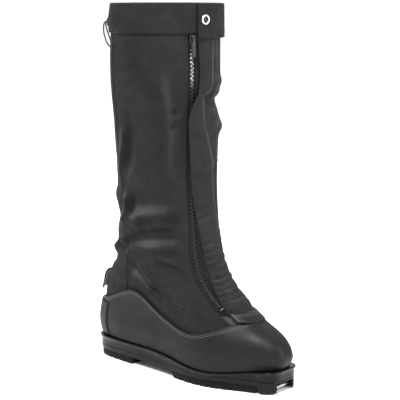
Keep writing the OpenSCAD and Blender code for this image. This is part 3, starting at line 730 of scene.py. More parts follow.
def teeth_look():
    """Moulded zip teeth with a painted highlight: the teeth in a band of heights, where the flap stands away,
    are painted pale for their glints.
    """
    look = Look("zip_teeth", Specular_IOR_Level=0.4)
    height = look.height_above_ground()
    # Painted highlight: the teeth between these heights are painted pale.
    worn = look.math("MULTIPLY", look.between(height, 0.376, 0.388), look.between(height, 0.428, 0.416))
    base = look.mottled((0.007, 0.007, 0.0076), (0.013, 0.013, 0.014), 0.006, detail=4)
    look.colour(look.mix(look.math("MULTIPLY", worn, look.between(look.noise(0.003), 0.35, 0.6)), base,
                         (0.42, 0.42, 0.42)))
    look.uneven_roughness(0.28, 0.42, 0.003, detail=4)
    look.bump(look.noise(0.0008, detail=2), 0.00004, 0.5)
    return look.material


def thread_look(name, dark, light):
    look = Look(name, Specular_IOR_Level=0.15)
    look.colour(look.mottled(dark, light, 0.003, detail=3))
    look.uneven_roughness(0.5, 0.7, 0.001)
    look.bump(look.noise(0.0003, detail=2, stretch=(1, 1, 3)), 0.00008, 0.6)
    return look.material


def felt_look(name, dark, light, relief=0.0005):
    look = Look(name, Specular_IOR_Level=0.2, Sheen_Weight=0.5, Sheen_Roughness=0.6)
    look.colour(look.mottled(dark, light, 0.003, detail=6))
    look.uneven_roughness(0.85, 0.97, 0.002)
    look.bump(look.noise(0.0008, detail=6, roughness=0.7), relief, 0.7)
    look.bump(look.noise(0.008, detail=3), 0.0008, 0.4)
    return look.material


def pile_look():
    """Hook-and-loop tape: close rows of tiny hooks."""
    look = Look("hook_and_loop", Specular_IOR_Level=0.4, Sheen_Weight=0.3)
    look.colour(look.mottled((0.01, 0.01, 0.01), (0.035, 0.035, 0.036), 0.001, detail=4, spread=(0.35, 0.65)))
    look.uneven_roughness(0.55, 0.9, 0.0007)
    look.bump(look.cells(0.0013), 0.0006, 0.9)
    look.bump(look.noise(0.0005, detail=3), 0.0002, 0.6)
    return look.material


def braid_look():
    """Round braided elastic: strands that wind both ways round the cord."""
    look = Look("cord_braid", Specular_IOR_Level=0.4, Sheen_Weight=0.3)
    one = look.math("SINE", look.math("ADD", look.math("MULTIPLY", look.uv(0), 4000),
                                      look.math("MULTIPLY", look.uv(1), 3000)))
    two = look.math("SINE", look.math("SUBTRACT", look.math("MULTIPLY", look.uv(0), 4000),
                                      look.math("MULTIPLY", look.uv(1), 3000)))
    strands = look.math("MAXIMUM", one, two)
    look.colour(look.mix(look.between(strands, -0.2, 1.0), (0.006, 0.006, 0.0066), (0.022, 0.022, 0.0235)))
    look.uneven_roughness(0.55, 0.75, 0.0008)
    look.bump(strands, 0.00018, 0.8)
    return look.material


def board_look():
    look = Look("board_fibre", Specular_IOR_Level=0.25)
    look.colour(look.mottled((0.14, 0.11, 0.08), (0.22, 0.18, 0.13), 0.002, detail=5, stretch=(0.3, 1, 1)))
    look.uneven_roughness(0.8, 0.95, 0.004)
    look.bump(look.noise(0.001, detail=5), 0.0002, 0.6)
    return look.material


CLOTH = cloth_look("gaiter_cloth", (0.0065, 0.0065, 0.0073), (0.0115, 0.0115, 0.0125))
# The creased cloth and the flap's cloth carry painted shade and painted highlight on their folds.
CREASED_PAINTED_LIGHT = cloth_look("creased_cloth_painted_light", (0.0065, 0.0065, 0.0073), (0.0120, 0.0120, 0.0130), creased=True)
FLAP_CLOTH_PAINTED_LIGHT = cloth_look("flap_cloth_painted_light", (0.009, 0.009, 0.0101), (0.016, 0.016, 0.0174), pitch=0.0011,
                        creased=True)
TAPE = cloth_look("woven_tape", (0.006, 0.006, 0.0065), (0.011, 0.011, 0.0115), pitch=0.0012, relief=0.0003)
KNIT = knit_look("stretch_cloth")
LEATHER = leather_look()
GLOSS = gloss_look()
RUBBER = rubber_look()
STEEL = metal_look("steel", (0.50, 0.51, 0.53), (0.68, 0.69, 0.71), (0.16, 0.3))
NICKEL = metal_look("nickel", (0.55, 0.55, 0.55), (0.75, 0.74, 0.72), (0.12, 0.26))
ENAMEL = plastic_look("black_enamel", (0.006, 0.006, 0.007), (0.012, 0.012, 0.013), (0.12, 0.25))
ZIP_PLASTIC = plastic_look("zip_plastic", (0.007, 0.007, 0.0076), (0.013, 0.013, 0.014))
TEETH = teeth_look()
THREAD = thread_look("stitch_thread", (0.07, 0.07, 0.072), (0.13, 0.13, 0.133))
DARK_THREAD = thread_look("dark_thread", (0.008, 0.008, 0.0088), (0.016, 0.016, 0.0172))
PIPING = thread_look("piping", (0.005, 0.005, 0.0055), (0.009, 0.009, 0.0096))
FELT = felt_look("felt", (0.03, 0.03, 0.033), (0.055, 0.055, 0.059))
LINING = felt_look("lining", (0.018, 0.0185, 0.021), (0.034, 0.0345, 0.038), relief=0.0003)
PILE = pile_look()
BRAID = braid_look()
BOARD = board_look()


def dress(piece, material, body="boot", replaces=()):
    """Gives a piece its material, the body it rides on and the CAD nodes it stands for."""
    piece.data.materials.clear()
    piece.data.materials.append(material)
    if replaces:
        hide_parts(*replaces)
    if body:
        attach(piece, body)
    return piece


# ---- Drawcord and its lock, at the back of the rim ----
LOCK_A = 194.0
T_CORD = t_at(BOOT_H - 24)
CORD_D = 2.0
LOCK_X = 10.6
LOCK_R = 5.2
GROMMET_R = 3.2
LOCK_NORMAL = normal(LOCK_A, T_CORD)
LOCK_TURN = math.atan2(LOCK_NORMAL[1], LOCK_NORMAL[0])
OUT = np.array([math.cos(LOCK_TURN), math.sin(LOCK_TURN), 0])
SIDE = np.array([-math.sin(LOCK_TURN), math.cos(LOCK_TURN), 0])
UP = np.array([0.0, 0, 1])
EXIT_FRAME = frame_matrix(OUT, SIDE, UP, last(LOCK_A, T_CORD))
LOCK_FRAME = frame_matrix(OUT, SIDE, UP, last(LOCK_A, T_CORD) + LOCK_X * OUT)
# One half of the free loop, from the collar through the lock to its bottom: out, to the side and up
HALF_LOOP = [[4.8, -1.15, 0], [10, -1.15, 0], [15.4, -1.2, 0], [17.8, -1.5, -0.8], [19.3, -2.2, -3],
             [19.7, -3.2, -6.5], [19, -4.6, -12], [17.6, -5.6, -17.5], [15.6, -6, -23], [13.6, -5, -28.5],
             [12.2, -2.8, -32.2], [11.8, 0, -33.4]]


def make_drawcord():
    loop = np.array(HALF_LOOP + [[x, -y, z] for x, y, z in HALF_LOOP[-2::-1]])
    path = place(curve(loop, np.linspace(0, 1, 177)), EXIT_FRAME)
    cord = dress(tube("drawcord", path, CORD_D / 2, 16), BRAID, replaces=["drawcord_loop"])
    hole = rounded_box((0, 0, 0), (14, 4.8, 2.4), 0.5, LOCK_FRAME)
    body = [(0.02, -6.5), (3.6, -6.5), (4.6, -6.2), (5.1, -5.5), (LOCK_R, -4.6), (4.9, -4.2), (4.9, -3.9),
            (LOCK_R, -3.4), (LOCK_R, -2.4), (LOCK_R, 2.4), (LOCK_R, 2.9), (4.9, 3.2), (4.9, 3.5),
            (LOCK_R, 3.8), (5.1, 4.3), (4.7, 4.5), (4.2, 4.45), (3.95, 4.2), (3.9, 3.6), (3.9, -4.6),
            (3.5, -4.9), (0.02, -4.9)]
    barrel = join_parts("lock_barrel", [lathe(body, LOCK_FRAME, 72)])
    barrel = dress(cut(barrel, [hole]), ZIP_PLASTIC, replaces=["cord_lock_body"])
    button = [(0.02, -2.2), (3.3, -2.2), (3.75, -1.8), (3.75, 3.6), (3.7, 5.2), (3.75, 5.6), (3.75, 6.8),
              (3.5, 7.5), (2.9, 7.9), (2.2, 7.75), (1.4, 7.5), (0.7, 7.4), (0.02, 7.38)]
    plunger = join_parts("lock_plunger", [lathe(button, LOCK_FRAME, 64)])
    opening = rounded_box((0, 0, 1.15), (14, 4.7, 4.5), 0.6, LOCK_FRAME)
    plunger = dress(cut(plunger, [opening]), ZIP_PLASTIC, "lock_button",
                    replaces=["cord_lock_button"])
    for piece in (barrel, plunger):
        piece.data.set_sharp_from_angle(angle=math.radians(50))
    frame_of_eyelet = frame_matrix(SIDE, UP, OUT, last(LOCK_A, T_CORD))
    eyelet = [(2.5, 2.2), (2.6, 4.6), (2.9, 5.0), (3.6, 5.1), (4.3, 4.95), (4.8, 4.6), (4.75, 4.35),
              (3.4, 4.3), (3.2, 4.1), (3.2, 2.2)]
    dress(join_parts("cord_eyelet", [turned_ring(eyelet, frame_of_eyelet)]), NICKEL,
          replaces=["cord_grommet"])


def turned_ring(profile, matrix, segments=56):
    """(points, faces) of a turned shape with a hole through it. The profile closes on itself."""
    points, _ = lathe(profile, matrix, segments)
    rings = len(profile)
    faces = []
    for i in range(rings):
        n = (i + 1) % rings
        for k in range(segments):
            m = (k + 1) % segments
            faces.append([i * segments + k, i * segments + m, n * segments + m, n * segments + k])
    return points, faces


make_drawcord()

# ---- Sole ----
TREAD_T = 10.0
FRAME_Z = 17.0
TREAD_REAR_X, TREAD_FRONT_X, HEEL_FRONT_X = -2.0, 131.0, -74.0
GROOVE_W, GROOVE_Y, GROOVE_DEPTH = 7.0, 15.0, 5.0
AXIS_Y = 3.0
BAR_X, BAR_Z, BAR_D, BAR_FREE_L = 143.0, 6.5, 4.5, 34.0
JAW_ROOM = 5.0
TOE_Z = 2.0


def sole_edge(count=420):
    """Evenly spaced points of the sole's outline at the feather line, with their outward directions."""
    near = 10 ** np.linspace(-5, 1, 400)
    half = np.concatenate([[0], near, np.linspace(10.2, 169.8, 900), 180 - near[::-1], [180]])
    angles = np.concatenate([half, 360 - half[-2:0:-1]])
    points = raw_last(angles, 0, sole_power) - [MIDDLE_X, 0, 0]
    z = last(angles, 0)[:, 2]
    along = np.concatenate([[0], np.cumsum(np.linalg.norm(np.diff(points[:, :2], axis=0), axis=1))])
    total = along[-1] + np.linalg.norm(points[-1, :2] - points[0, :2])
    s = np.arange(count) / count * total
    line = [np.interp(s, np.append(along, total), np.append(c, c[0]))
            for c in (points[:, 0], points[:, 1], z)]
    x, y, z = line
    kernel = np.array([1, 2, 3, 4, 3, 2, 1]) / 16
    x, y = (sum(w * np.roll(c, k - 3) for k, w in enumerate(kernel)) for c in (x, y))
    dx, dy = (np.roll(c, -1) - np.roll(c, 1) for c in (x, y))
    out = unit(np.stack([dy, -dx], -1))
    return np.stack([x, y], -1), out, z


SOLE_XY, SOLE_OUT, SOLE_Z = sole_edge()


def sole_rings(profile):
    """(points, faces) of a closed shape whose wall follows the sole's outline.
    profile lists (outset, share of the way up to the feather line, height added)."""
    rings = []
    for outset, share, height in profile:
        xy = SOLE_XY + outset * SOLE_OUT
        z = np.full(len(xy), FRAME_Z) * (1 - share) + SOLE_Z * share + height
        rings.append(np.column_stack([xy, z]))
    return np.concatenate(rings), ring_faces(len(profile), len(SOLE_XY))


def wall_profile(z0, z1, out, round_low, round_high):
    """Profile of a plain side wall between two heights, with rounded edges."""
    low, high = z0 - FRAME_Z, z1 - FRAME_Z
    return [(out - round_low, 0, low), (out - 0.3 * round_low, 0, low + 0.3 * round_low),
            (out, 0, low + round_low), (out, 0, high - round_high),
            (out - 0.3 * round_high, 0, high - 0.3 * round_high), (out - round_high, 0, high)]


BLOCK_FACES = [[0, 1, 2, 3], [7, 6, 5, 4], [0, 4, 5, 1], [1, 5, 6, 2], [2, 6, 7, 3], [3, 7, 4, 0]]
FAR_X = 400.0            # well past either end of the sole
FAR_Y = 90.0             # well past either side of the sole
SOLE_END_X = 150.0       # nothing is cut off beyond this


def across_sole(profile):
    """(points, faces) of a block across the whole sole with four (x, z) corners."""
    points = [(x, y, z) for y in (-FAR_Y, FAR_Y) for x, z in profile]
    return np.array(points), BLOCK_FACES


def wedge(x0, x1, z0, z1):
    """(points, faces) of an upright block across the sole."""
    return across_sole([(x0, z0), (x1, z0), (x1, z1), (x0, z1)])


def grooves(x0, x1):
    return [rounded_box(((x0 + x1) / 2, AXIS_Y + s * GROOVE_Y, GROOVE_DEPTH / 2 - 2),
                        (x1 - x0, GROOVE_W, GROOVE_DEPTH + 4), 0.8) for s in (-1, 1)]


def lug_gaps(x0, x1, half_w, pitch=14.5, gap=3.0, reach=11.0, depth=4.0):
    return [rounded_box((x + gap / 2, s * half_w, depth / 2 - 1), (gap, 2 * reach, depth + 2), 0.5)
            for x in np.arange(x0, x1 + 0.1, pitch) for s in (-1, 1)]


def trim_sole(piece, x_rear, x_front, lean_rear=0.0, lean_front=0.0):
    """Cuts a piece of the sole off behind x_rear and in front of x_front, leaning in lower down."""
    cutters = []
    for far, x, lean in ((-FAR_X, x_rear, lean_rear), (FAR_X, x_front, -lean_front)):
        if abs(x) < SOLE_END_X:
            low, high = sorted((far, x))
            cutters.append(lean_block(far, x, lean) if lean else wedge(low, high, -31, TREAD_T + 31))
    return cut(piece, cutters)


def lean_block(far_x, x, lean):
    """A cutter whose face runs from x at the tread's top to x + lean on the ground."""
    slope = lean / TREAD_T
    low, high = -10, TREAD_T + 10
    xs = [(far_x, low), (x + slope * (TREAD_T - low), low), (x + slope * (TREAD_T - high), high),
          (far_x, high)]
    if far_x > x:
        xs = xs[::-1]
    return across_sole(xs)


def make_sole():
    frame_profile = [(-8, 0, 0.02), (0.6, 0, 0.02), (0.95, 0, 0.3), (1.1, 0, 1.0), (1.2, 0.3, 0.3),
                     (1.5, 0.62, 0), (1.75, 1, -4.2), (1.9, 1, -3.3), (2.5, 1, -2.7), (3.0, 1, -1.9),
                     (3.15, 1, -1.0), (2.9, 1, -0.2), (2.2, 1, 0.3), (1.2, 1, 0.35), (0.2, 1, 0.1),
                     (-8, 1, 0)]
    side_wall = join_parts("sole_side_wall", [sole_rings(frame_profile)])
    dress(side_wall, GLOSS, replaces=["sole_frame"])
    middle = join_parts("sole_middle", [sole_rings(wall_profile(TREAD_T, FRAME_Z, 1.0, 0.5, 0.5))])
    dress(soften(trim_sole(middle, -FAR_X, TREAD_FRONT_X), 0.3), GLOSS, replaces=["midsole"])
    forefoot = (TREAD_REAR_X, TREAD_FRONT_X, 10, 5)
    heel = (-FAR_X, HEEL_FRONT_X, 0, 3)
    for name, node, ends, groove, lugs in (("tread_front", "tread_forefoot", forefoot,
                                            (TREAD_REAR_X - 14, TREAD_FRONT_X + 8), (22, 110, 46)),
                                           ("tread_rear", "tread_heel", heel,
                                            (HEEL_FRONT_X - 45, HEEL_FRONT_X + 8), (-134, -90, 36))):
        block = join_parts(name, [sole_rings(wall_profile(0, TREAD_T, -0.5, 1.2, 0.2))])
        block = trim_sole(block, *ends)
        block = cut(block, grooves(*groove) + lug_gaps(*lugs))
        dress(soften(block, 0.45), RUBBER, replaces=[node])
    insert = join_parts("binding_insert", [sole_rings(wall_profile(TOE_Z, FRAME_Z, 1.0, 1.0, 0.5))])
    insert = cut(insert, [wedge(-FAR_X, TREAD_FRONT_X, -30, 60)])
    recess_x = BAR_X - BAR_D / 2 - JAW_ROOM
    recess_top = BAR_Z + BAR_D / 2 + JAW_ROOM
    room = rounded_box((recess_x + 25, AXIS_Y, recess_top / 2 - 5), (50, BAR_FREE_L, recess_top + 10), 0.8)
    bar_seats = lathe([(BAR_D / 2 + 0.02, -21), (BAR_D / 2 + 0.02, 21)],
                      frame_matrix((1, 0, 0), (0, 0, -1), (0, 1, 0), (BAR_X, AXIS_Y, BAR_Z)), 40)
    insert = cut(insert, [lean_block(FAR_X, BAR_X + 14.5, -4)])
    insert = cut(insert, [room])
    insert = cut(insert, [bar_seats] + grooves(TREAD_FRONT_X - 9, TREAD_FRONT_X + 6))
    ribs = [rounded_box((BAR_X + 14, AXIS_Y + s * (BAR_FREE_L / 2 + 3 + 2.6 * k), 8.5), (3, 1.1, 14), 0.3)
            for s in (-1, 1) for k in range(4)]
    insert = cut(insert, ribs)
    dress(soften(insert, 0.5), GLOSS, replaces=["toe_insert"])


make_sole()

# ---- Moulded lower ----


# Depth, place in t, middle angle and reach in degrees of each flex crease.
SHELL_CREASES = [(-0.5, 0.17, -34, 16), (-0.45, 0.205, -30, 14), (0.4, 0.187, -32, 16), (-0.5, 0.17, 34, 16),
                 (0.35, 0.187, 32, 14)]


def shell_height(a, t):
    """Outer face of the moulded shell: a soft bead along its top edge and a few flex creases."""
    edge = trim(a) - t
    bead = 0.45 * np.exp(-((edge - 0.004) / 0.0045) ** 2)
    flex = sum(depth * bump(t + 0.00045 * np.abs(a - middle), where, 0.011) * bump(a, middle, reach)
               for depth, where, middle, reach in SHELL_CREASES)
    return bead + flex + 0.12 * np.sin(np.radians(4 * a) + 30 * t)


def shell_point(a, t, h=0.0):
    return skin(a, t, shell_height(a, t) + h)


# Pitch, length and width of a row's stitches.
CLOTH_STITCH = (3.4, 2.5, 0.6)
FINE_STITCH = (3.2, 2.3, 0.6)
LEATHER_STITCH = (3.0, 2.2, 0.7)
SHELL_STITCH = (3.0, 2.3, 0.75)


def sew(name, a, t, point, shift=0.0, size=CLOTH_STITCH, thread=DARK_THREAD, body="boot"):
    """A row of stitches along a line on a surface."""
    row = stitches(name, point(a, t), normal(a, t), shift, *size)
    return dress(row, thread, body=body)


def make_shell():
    a = np.linspace(0, 360, 300, endpoint=False)[None, :]
    share = np.concatenate([np.linspace(0, 0.86, 34), np.linspace(0.88, 1, 14)])[:, None]
    t = 0.004 + (trim(a) - 0.004) * share
    shell = grid_object("moulded_shell", shell_point(a, t), closed=True)
    dress(thicken(shell, SHELL_T), LEATHER, replaces=["lower_shell"])
    lateral = np.linspace(-152, -36, 420)
    medial = np.linspace(36, 152, 420)
    for side, angles in (("outer", lateral), ("inner", medial)):
        for row, shift in (("a", 0.0), ("b", -2.3)):
            sew(f"shell_stitches_{side}_{row}", angles, trim(angles) - 0.0105,
                lambda a, t: shell_point(a, t, 0.05), shift, SHELL_STITCH, THREAD)
    edge = np.linspace(-156, -30, 300)
    binding = [tube("shell_binding_outer", shell_point(edge, trim(edge), -0.5), 0.8, 10),
               tube("shell_binding_inner", shell_point(-edge, trim(-edge), -0.5), 0.8, 10)]
    for piece in binding:
        dress(piece, PIPING)



def make_backstay():
    a, t = patch(143.5, 216.5, 0.012, lambda a: 0.214 - 0.012 * ((a - 180) / 36) ** 2, 90, 60)
    piece = grid_object("backstay_leather", skin(a, t, BACKSTAY_T + rolled(a, t, 0.9, 1.4)))
    dress(thicken(piece, BACKSTAY_T - 0.1), LEATHER, replaces=["backstay"])
    for side, angle in (("outer", 213.6), ("inner", 146.4)):
        ts = np.linspace(0.016, 0.198, 120)
        for row, shift in (("a", 0.0), ("b", 2.2 if side == "outer" else -2.2)):
            sew(f"backstay_stitches_{side}_{row}", np.full(120, angle), ts,
                lambda a, t: skin(a, t, BACKSTAY_T + 0.02), shift, LEATHER_STITCH, THREAD)


HEEL_TAB_R, HEEL_TAB_H, HEEL_TAB_T = 27.0, 25.0, 1.4
HEEL_TAB_TILT = 17.0


def heel_tab_point(b, z, r):
    """Point of the heel tab: angle b round its own axis, height z on it and radius r."""
    tilt = math.radians(HEEL_TAB_TILT)
    x, y = r * np.cos(np.radians(b)), r * np.sin(np.radians(b))
    place_x = last(180, 0.215)[0] + HEEL_TAB_R - 3.2
    return np.stack([place_x + x * math.cos(tilt) + z * math.sin(tilt), y,
                     86 - x * math.sin(tilt) + z * math.cos(tilt)], -1)


def make_heel_tab():
    for name, r, thick, material, slot, node, top in (("heel_pull_tab", HEEL_TAB_R, HEEL_TAB_T, LEATHER,
                                                       "coated_leather", "heel_tab", HEEL_TAB_H),
                                                      ("heel_pull_tab_lining", HEEL_TAB_R - HEEL_TAB_T, 1.0,
                                                       FELT, "felt", "heel_tab_lining", HEEL_TAB_H - 1.2)):
        b = np.linspace(141, 219, 60)[None, :]
        share = np.linspace(0, 1, 34)[:, None]
        crown = top - 9 * np.abs((b - 180) / 39) ** 3
        z = share * crown
        flare = 1.6 * np.clip((share - 0.6) / 0.4, 0, 1) ** 2 * np.cos(np.radians((b - 180) * 2))
        piece = grid_object(name, heel_tab_point(b + 0 * share, z, r + flare * (r > 26)))
        piece = thicken(flip_faces(piece), thick)
        dress(piece, material, replaces=[node])
    b = np.linspace(145, 215, 90)
    z = HEEL_TAB_H - 9 * np.abs((b - 180) / 39) ** 3 - 3.2
    points = heel_tab_point(b, z, HEEL_TAB_R + 1.1)
    outward = heel_tab_point(b, z, HEEL_TAB_R + 2) - heel_tab_point(b, z, HEEL_TAB_R)
    dress(stitches("heel_tab_stitches", points, outward, 0, pitch=3.0, length=2.2, width=0.7), THREAD)


def flip_faces(piece):
    """Turns a surface so that its faces look away from the leg."""
    mesh = piece.data
    centre = Vector(np.mean([v.co for v in mesh.vertices], axis=0))
    toward_leg = Vector((0.02, 0, centre.z)) - centre
    if sum(p.normal.dot(toward_leg) * p.area for p in mesh.polygons) > 0:
        mesh.flip_normals()
    return piece


def on_the_vamp_tab(a, t):
    return skin(a, t, AIR + 1.72)


def make_vamp_tab():
    def low(a):
        return 0.262 + 0 * a

    def high(a):
        return T_TAB - 0.010 * np.abs(a / 36) ** 4

    a, t = patch(line_at(-25), line_at(25), low, high, 80, 34)
    piece = grid_object("vamp_tab_leather", skin(a, t, AIR + 1.7 + rolled(a, t, 0.7, 1.3)))
    dress(thicken(piece, 1.6), LEATHER, replaces=["vamp_tab"])
    for row, inset in (("a", 0.010), ("b", 0.018)):
        y = np.linspace(-23.5, 23.5, 160)
        t = np.full(160, T_TAB - inset) - 0.010 * np.abs(y / 25) ** 4
        sew(f"vamp_tab_stitches_{row}", angle_at(y, t), t, on_the_vamp_tab, 0, LEATHER_STITCH, THREAD)
    for side in (-1, 1):
        ts = np.linspace(0.266, T_TAB - 0.012, 60)
        name = "vamp_tab_stitches_outer" if side < 0 else "vamp_tab_stitches_inner"
        sew(name, angle_at(side * 22.6, ts), ts, on_the_vamp_tab, 0, LEATHER_STITCH, THREAD)


make_shell()
make_backstay()
make_heel_tab()
make_vamp_tab()

# ---- Gaiter ----
slot_lateral = line_at(ZIP_Y - SLOT_W / 2)
slot_medial = line_at(ZIP_Y + SLOT_W / 2)
FLAP_EDGE = np.array([[0.28, -27], [0.33, -24.5], [0.40, -21.5], [0.48, -18.6], [0.56, -18.8], [0.62, -21],
                      [0.68, -24.4], [0.74, -27.4], [0.80, -31], [0.836, -32.5], [0.856, -28.5],
                      [0.868, -22.5], [0.88, -18], [0.9, -17], [0.93, -18.6], [0.97, -21]])
FLAP_MEDIAL = np.array([[0.28, 24.5], [0.4, 22.5], [0.56, 20.5], [0.60, 17], [0.65, 12], [0.70, 10],
                        [0.75, 9.4], [0.7585, 10.2], [0.764, 21], [0.97, 21]])
# The line of stitches that joins the storm flap to the inner side's cloth: y, share t
FLAP_SEAM = np.array([[4.4, 0.948], [2.6, 0.915], [1.2, 0.884], [-4, 0.874], [-12.5, 0.864], [-15, 0.85],
                      [-14.5, 0.833], [-9.5, 0.812], [-3.5, 0.79], [1.5, 0.766], [5.4, 0.752]])


def hem_start(a):
    return trim(a) - 0.03


def flap_edge(t):
    total = 0
    for shift, weight in ((-0.009, 1), (-0.0045, 2), (0, 3), (0.0045, 2), (0.009, 1)):
        total = total + weight * np.interp(t + shift, FLAP_EDGE[:, 0], FLAP_EDGE[:, 1])
    return total / 9


def flap_medial(t):
    return np.interp(t, FLAP_MEDIAL[:, 0], FLAP_MEDIAL[:, 1])


def y_of(a, t):
    return curve(STATIONS, t)[..., 4] * np.sin(np.radians(a))


def flap_height(a, t, out=FLAP_OUT):
    """Outer face of the storm flap. It arches over the zip's run and thins to its sewn edge."""
    y = y_of(a, t)
    arch = 4.8 * smooth((t - 0.735) / 0.03) * smooth((0.884 - t) / 0.018) * smooth((-10 - y) / 10)
    sewn = smooth((y - flap_medial(t) + 11) / 10)
    foot = 1 - smooth((t - 0.302) / 0.05)
    crease = -0.8 * smooth((-y - 6) / 12) * np.sin((t - 0.3) * 210
                                                   + 0.12 * y) * smooth((0.62 - t) / 0.05) * 0.5
    wrinkles = (0.5 * np.sin(150 * t + 0.10 * y + 1.2 * np.sin(26 * t)) * np.sin(0.11 * y + 7 * t) ** 2
                + 0.32 * np.sin(265 * t - 0.16 * y)) * smooth((t - 0.33) / 0.04) * smooth((0.73 - t) / 0.05)
    quiet = smooth((T_COLLAR - 0.012 - t) / 0.02)
    base = np.maximum(-TUCK * (1 - smooth((t - trim(a)) / 0.1)), -1)
    lift = out + arch - 2.0 * sewn - 2.6 * foot + (wrinkles + crease) * (1 - foot) * quiet
    return base + lift + folds(a, t) * quiet


# How flat cloth, fold height and fold slope set the painted shade and painted highlight of the cloth.
PAINTED_LIGHT_OF_FLAT = 0.42
PAINTED_LIGHT_PER_MM = 0.03
PAINTED_LIGHT_PER_SLOPE = 0.6


def mark_painted_fold_light(piece, height, grid):
    """Notes on each point how much its fold stands out and faces up and to the side, as the amount of painted
    highlight (high) or painted shade (low) in the cloth's colour.
    """
    up = np.gradient(height, axis=0) / np.maximum(np.gradient(grid[..., 2], axis=0), 0.2)
    across = np.linalg.norm(np.gradient(grid, axis=1), axis=-1)
    sideways = np.gradient(height, axis=1) / np.maximum(across, 0.2)
    lift = piece.data.attributes.new("lift", "FLOAT", "POINT")
    # Crests and faces turned up and sideways towards the light get painted highlight; hollows and faces
    # turned away get painted shade.
    value = PAINTED_LIGHT_OF_FLAT + PAINTED_LIGHT_PER_MM * height + PAINTED_LIGHT_PER_SLOPE * (sideways - up)
    lift.data.foreach_set("value", np.clip(value, 0, 1).ravel())


def make_panel(name, a_low, a_high, t_low, t_high, across, up, material, slot, node, flat,
               height=cloth_height, roll=0.45, **extra):
    a, t = patch(a_low, a_high, t_low, t_high, across, up)
    grid = skin(a, t, height(a, t) + rolled(a, t, roll, 1.1))
    piece = grid_object(name, grid)
    # The folds set the painted shade and painted highlight of this panel's cloth.
    mark_painted_fold_light(piece, folds(a, t), grid)
    piece = thicken(piece, CLOTH_T)
    dress(piece, material, replaces=[node])
    return piece


def rib_height(a, t):
    """Stretch panel: welted ribs across it, strongest below its hem."""
    z = last(a, t)[..., 2]
    return (flat_cloth_height(a, t) + 0.55 * folds(a, t)
            + 0.6 * np.sin(2 * np.pi * z / 2.6) * (0.35 + 0.65 * smooth((t - 0.6) / 0.1))
            * smooth((t - trim(a) - 0.01) / 0.05))


def make_gaiter():
    make_panel("gaiter_outer_side", -SEAM_A, slot_lateral, hem_start, 1.0, 96, 210, CREASED_PAINTED_LIGHT, "gaiter_cloth",
               "gaiter_lateral", (0.125, 0.41), area=0.0475)
    make_panel("gaiter_rear", SEAM_A, 360 - SEAM_A - 0.4, hem_start, 1.0, 110, 190, CREASED_PAINTED_LIGHT, "gaiter_cloth",
               "gaiter_back", (0.15, 0.40), area=0.054)
    make_panel("gaiter_inner_side", slot_medial, SEAM_A - 0.4, T_HEM + 0.001, 1.0, 120, 110, CREASED_PAINTED_LIGHT,
               "gaiter_cloth", "gaiter_medial", (0.185, 0.205), area=0.0345)
    make_panel("gaiter_shin", slot_medial, lambda t: angle_at(flap_medial(np.minimum(t, 0.757)) - 3.2, t),
               0.245, T_HEM, 34, 150, CLOTH, "gaiter_cloth", "gaiter_front", (0.043, 0.225), area=0.0092)
    a, t = patch(lambda t: angle_at(flap_medial(np.minimum(t, 0.757)) - 3, t), SEAM_A - 0.4, hem_start,
                 T_HEM, 96, 430)
    ribs = thicken(grid_object("ribbed_stretch_panel",
                               skin(a, t, rib_height(a, t) + rolled(a, t, 0.3, 0.8))), CLOTH_T, 0)
    dress(ribs, KNIT, replaces=["stretch_panel"])


def on_the_cloth(a, t):
    """Points just outside the gaiter's cloth, where thread lies on it."""
    return skin(a, t, cloth_height(a, t) + 0.05)


def make_seams():
    for name, angle in (("outer", -SEAM_A), ("inner", SEAM_A - 0.2)):
        start = float(trim(angle)) + 0.012
        ts = np.linspace(start, T_COLLAR - 0.004, 400)
        angles = np.full(400, angle)
        for row, shift in (("a", 2.6), ("b", 5.2)):
            sew(f"back_seam_{name}_{row}", angles, ts, on_the_cloth, shift if name == "inner" else -shift)
    a = np.linspace(angle_at(10.5, T_HEM), SEAM_A - 1, 240)
    hem = tube("inner_hem_piping", skin(a, T_HEM + 0.0015, cloth_height(a, T_HEM + 0.0015) + 0.35), 0.85, 10)
    dress(hem, PIPING)
    sew("inner_hem_stitches", a, T_HEM + 0.012 + 0 * a, on_the_cloth, size=FINE_STITCH)
    ts = np.linspace(0.31, T_COLLAR - 0.01, 420)
    sew("slot_stitches", angle_at(ZIP_Y - SLOT_W / 2 - 3.2, ts), ts, on_the_cloth, size=FINE_STITCH)


def belt(name, section, a_low, a_high, across, material, height_extra=None):
    """A band that follows the rim with the same cross-section all along: (share t, height) pairs."""
    section = np.asarray(section, float)
    j = np.linspace(0, 1, across)
    rings = []
    for share in j:
        ts, hs = section[:, 0], section[:, 1]
        a = a_low(ts) + (a_high(ts) - a_low(ts)) * share
        extra = height_extra(a, ts) if height_extra else 0
        rings.append(skin(a, np.minimum(ts, 1), hs + extra)
                     + np.stack([0 * ts, 0 * ts, np.maximum(ts - 1, 0) * 265], -1))
    points = np.array(rings)
    count = len(section)
    faces = []
    for i in range(across - 1):
        for k in range(count):
            m = (k + 1) % count
            faces.append([i * count + k, (i + 1) * count + k, (i + 1) * count + m, i * count + m])
    faces.append(list(range(count)))
    faces.append([(across - 1) * count + k for k in range(count)][::-1])
    lengths = np.concatenate([[0], np.cumsum(np.linalg.norm(np.diff(points[0], axis=0), axis=1))])
    along = np.concatenate([[0], np.cumsum(np.linalg.norm(np.diff(points[:, 0], axis=0), axis=1))])
    around = np.append(lengths, lengths[-1] + np.linalg.norm(points[0, -1] - points[0, 0]))
    uvs = []
    for i in range(across - 1):
        for k in range(count):
            uvs += [(along[i], around[k]), (along[i + 1], around[k]), (along[i + 1], around[k + 1]),
                    (along[i], around[k + 1])]
    uvs += [(0, 0)] * (2 * count)
    piece = add_object(name, points.reshape(-1, 3), faces, uvs)
    dress(piece, material, body=None)
    return piece


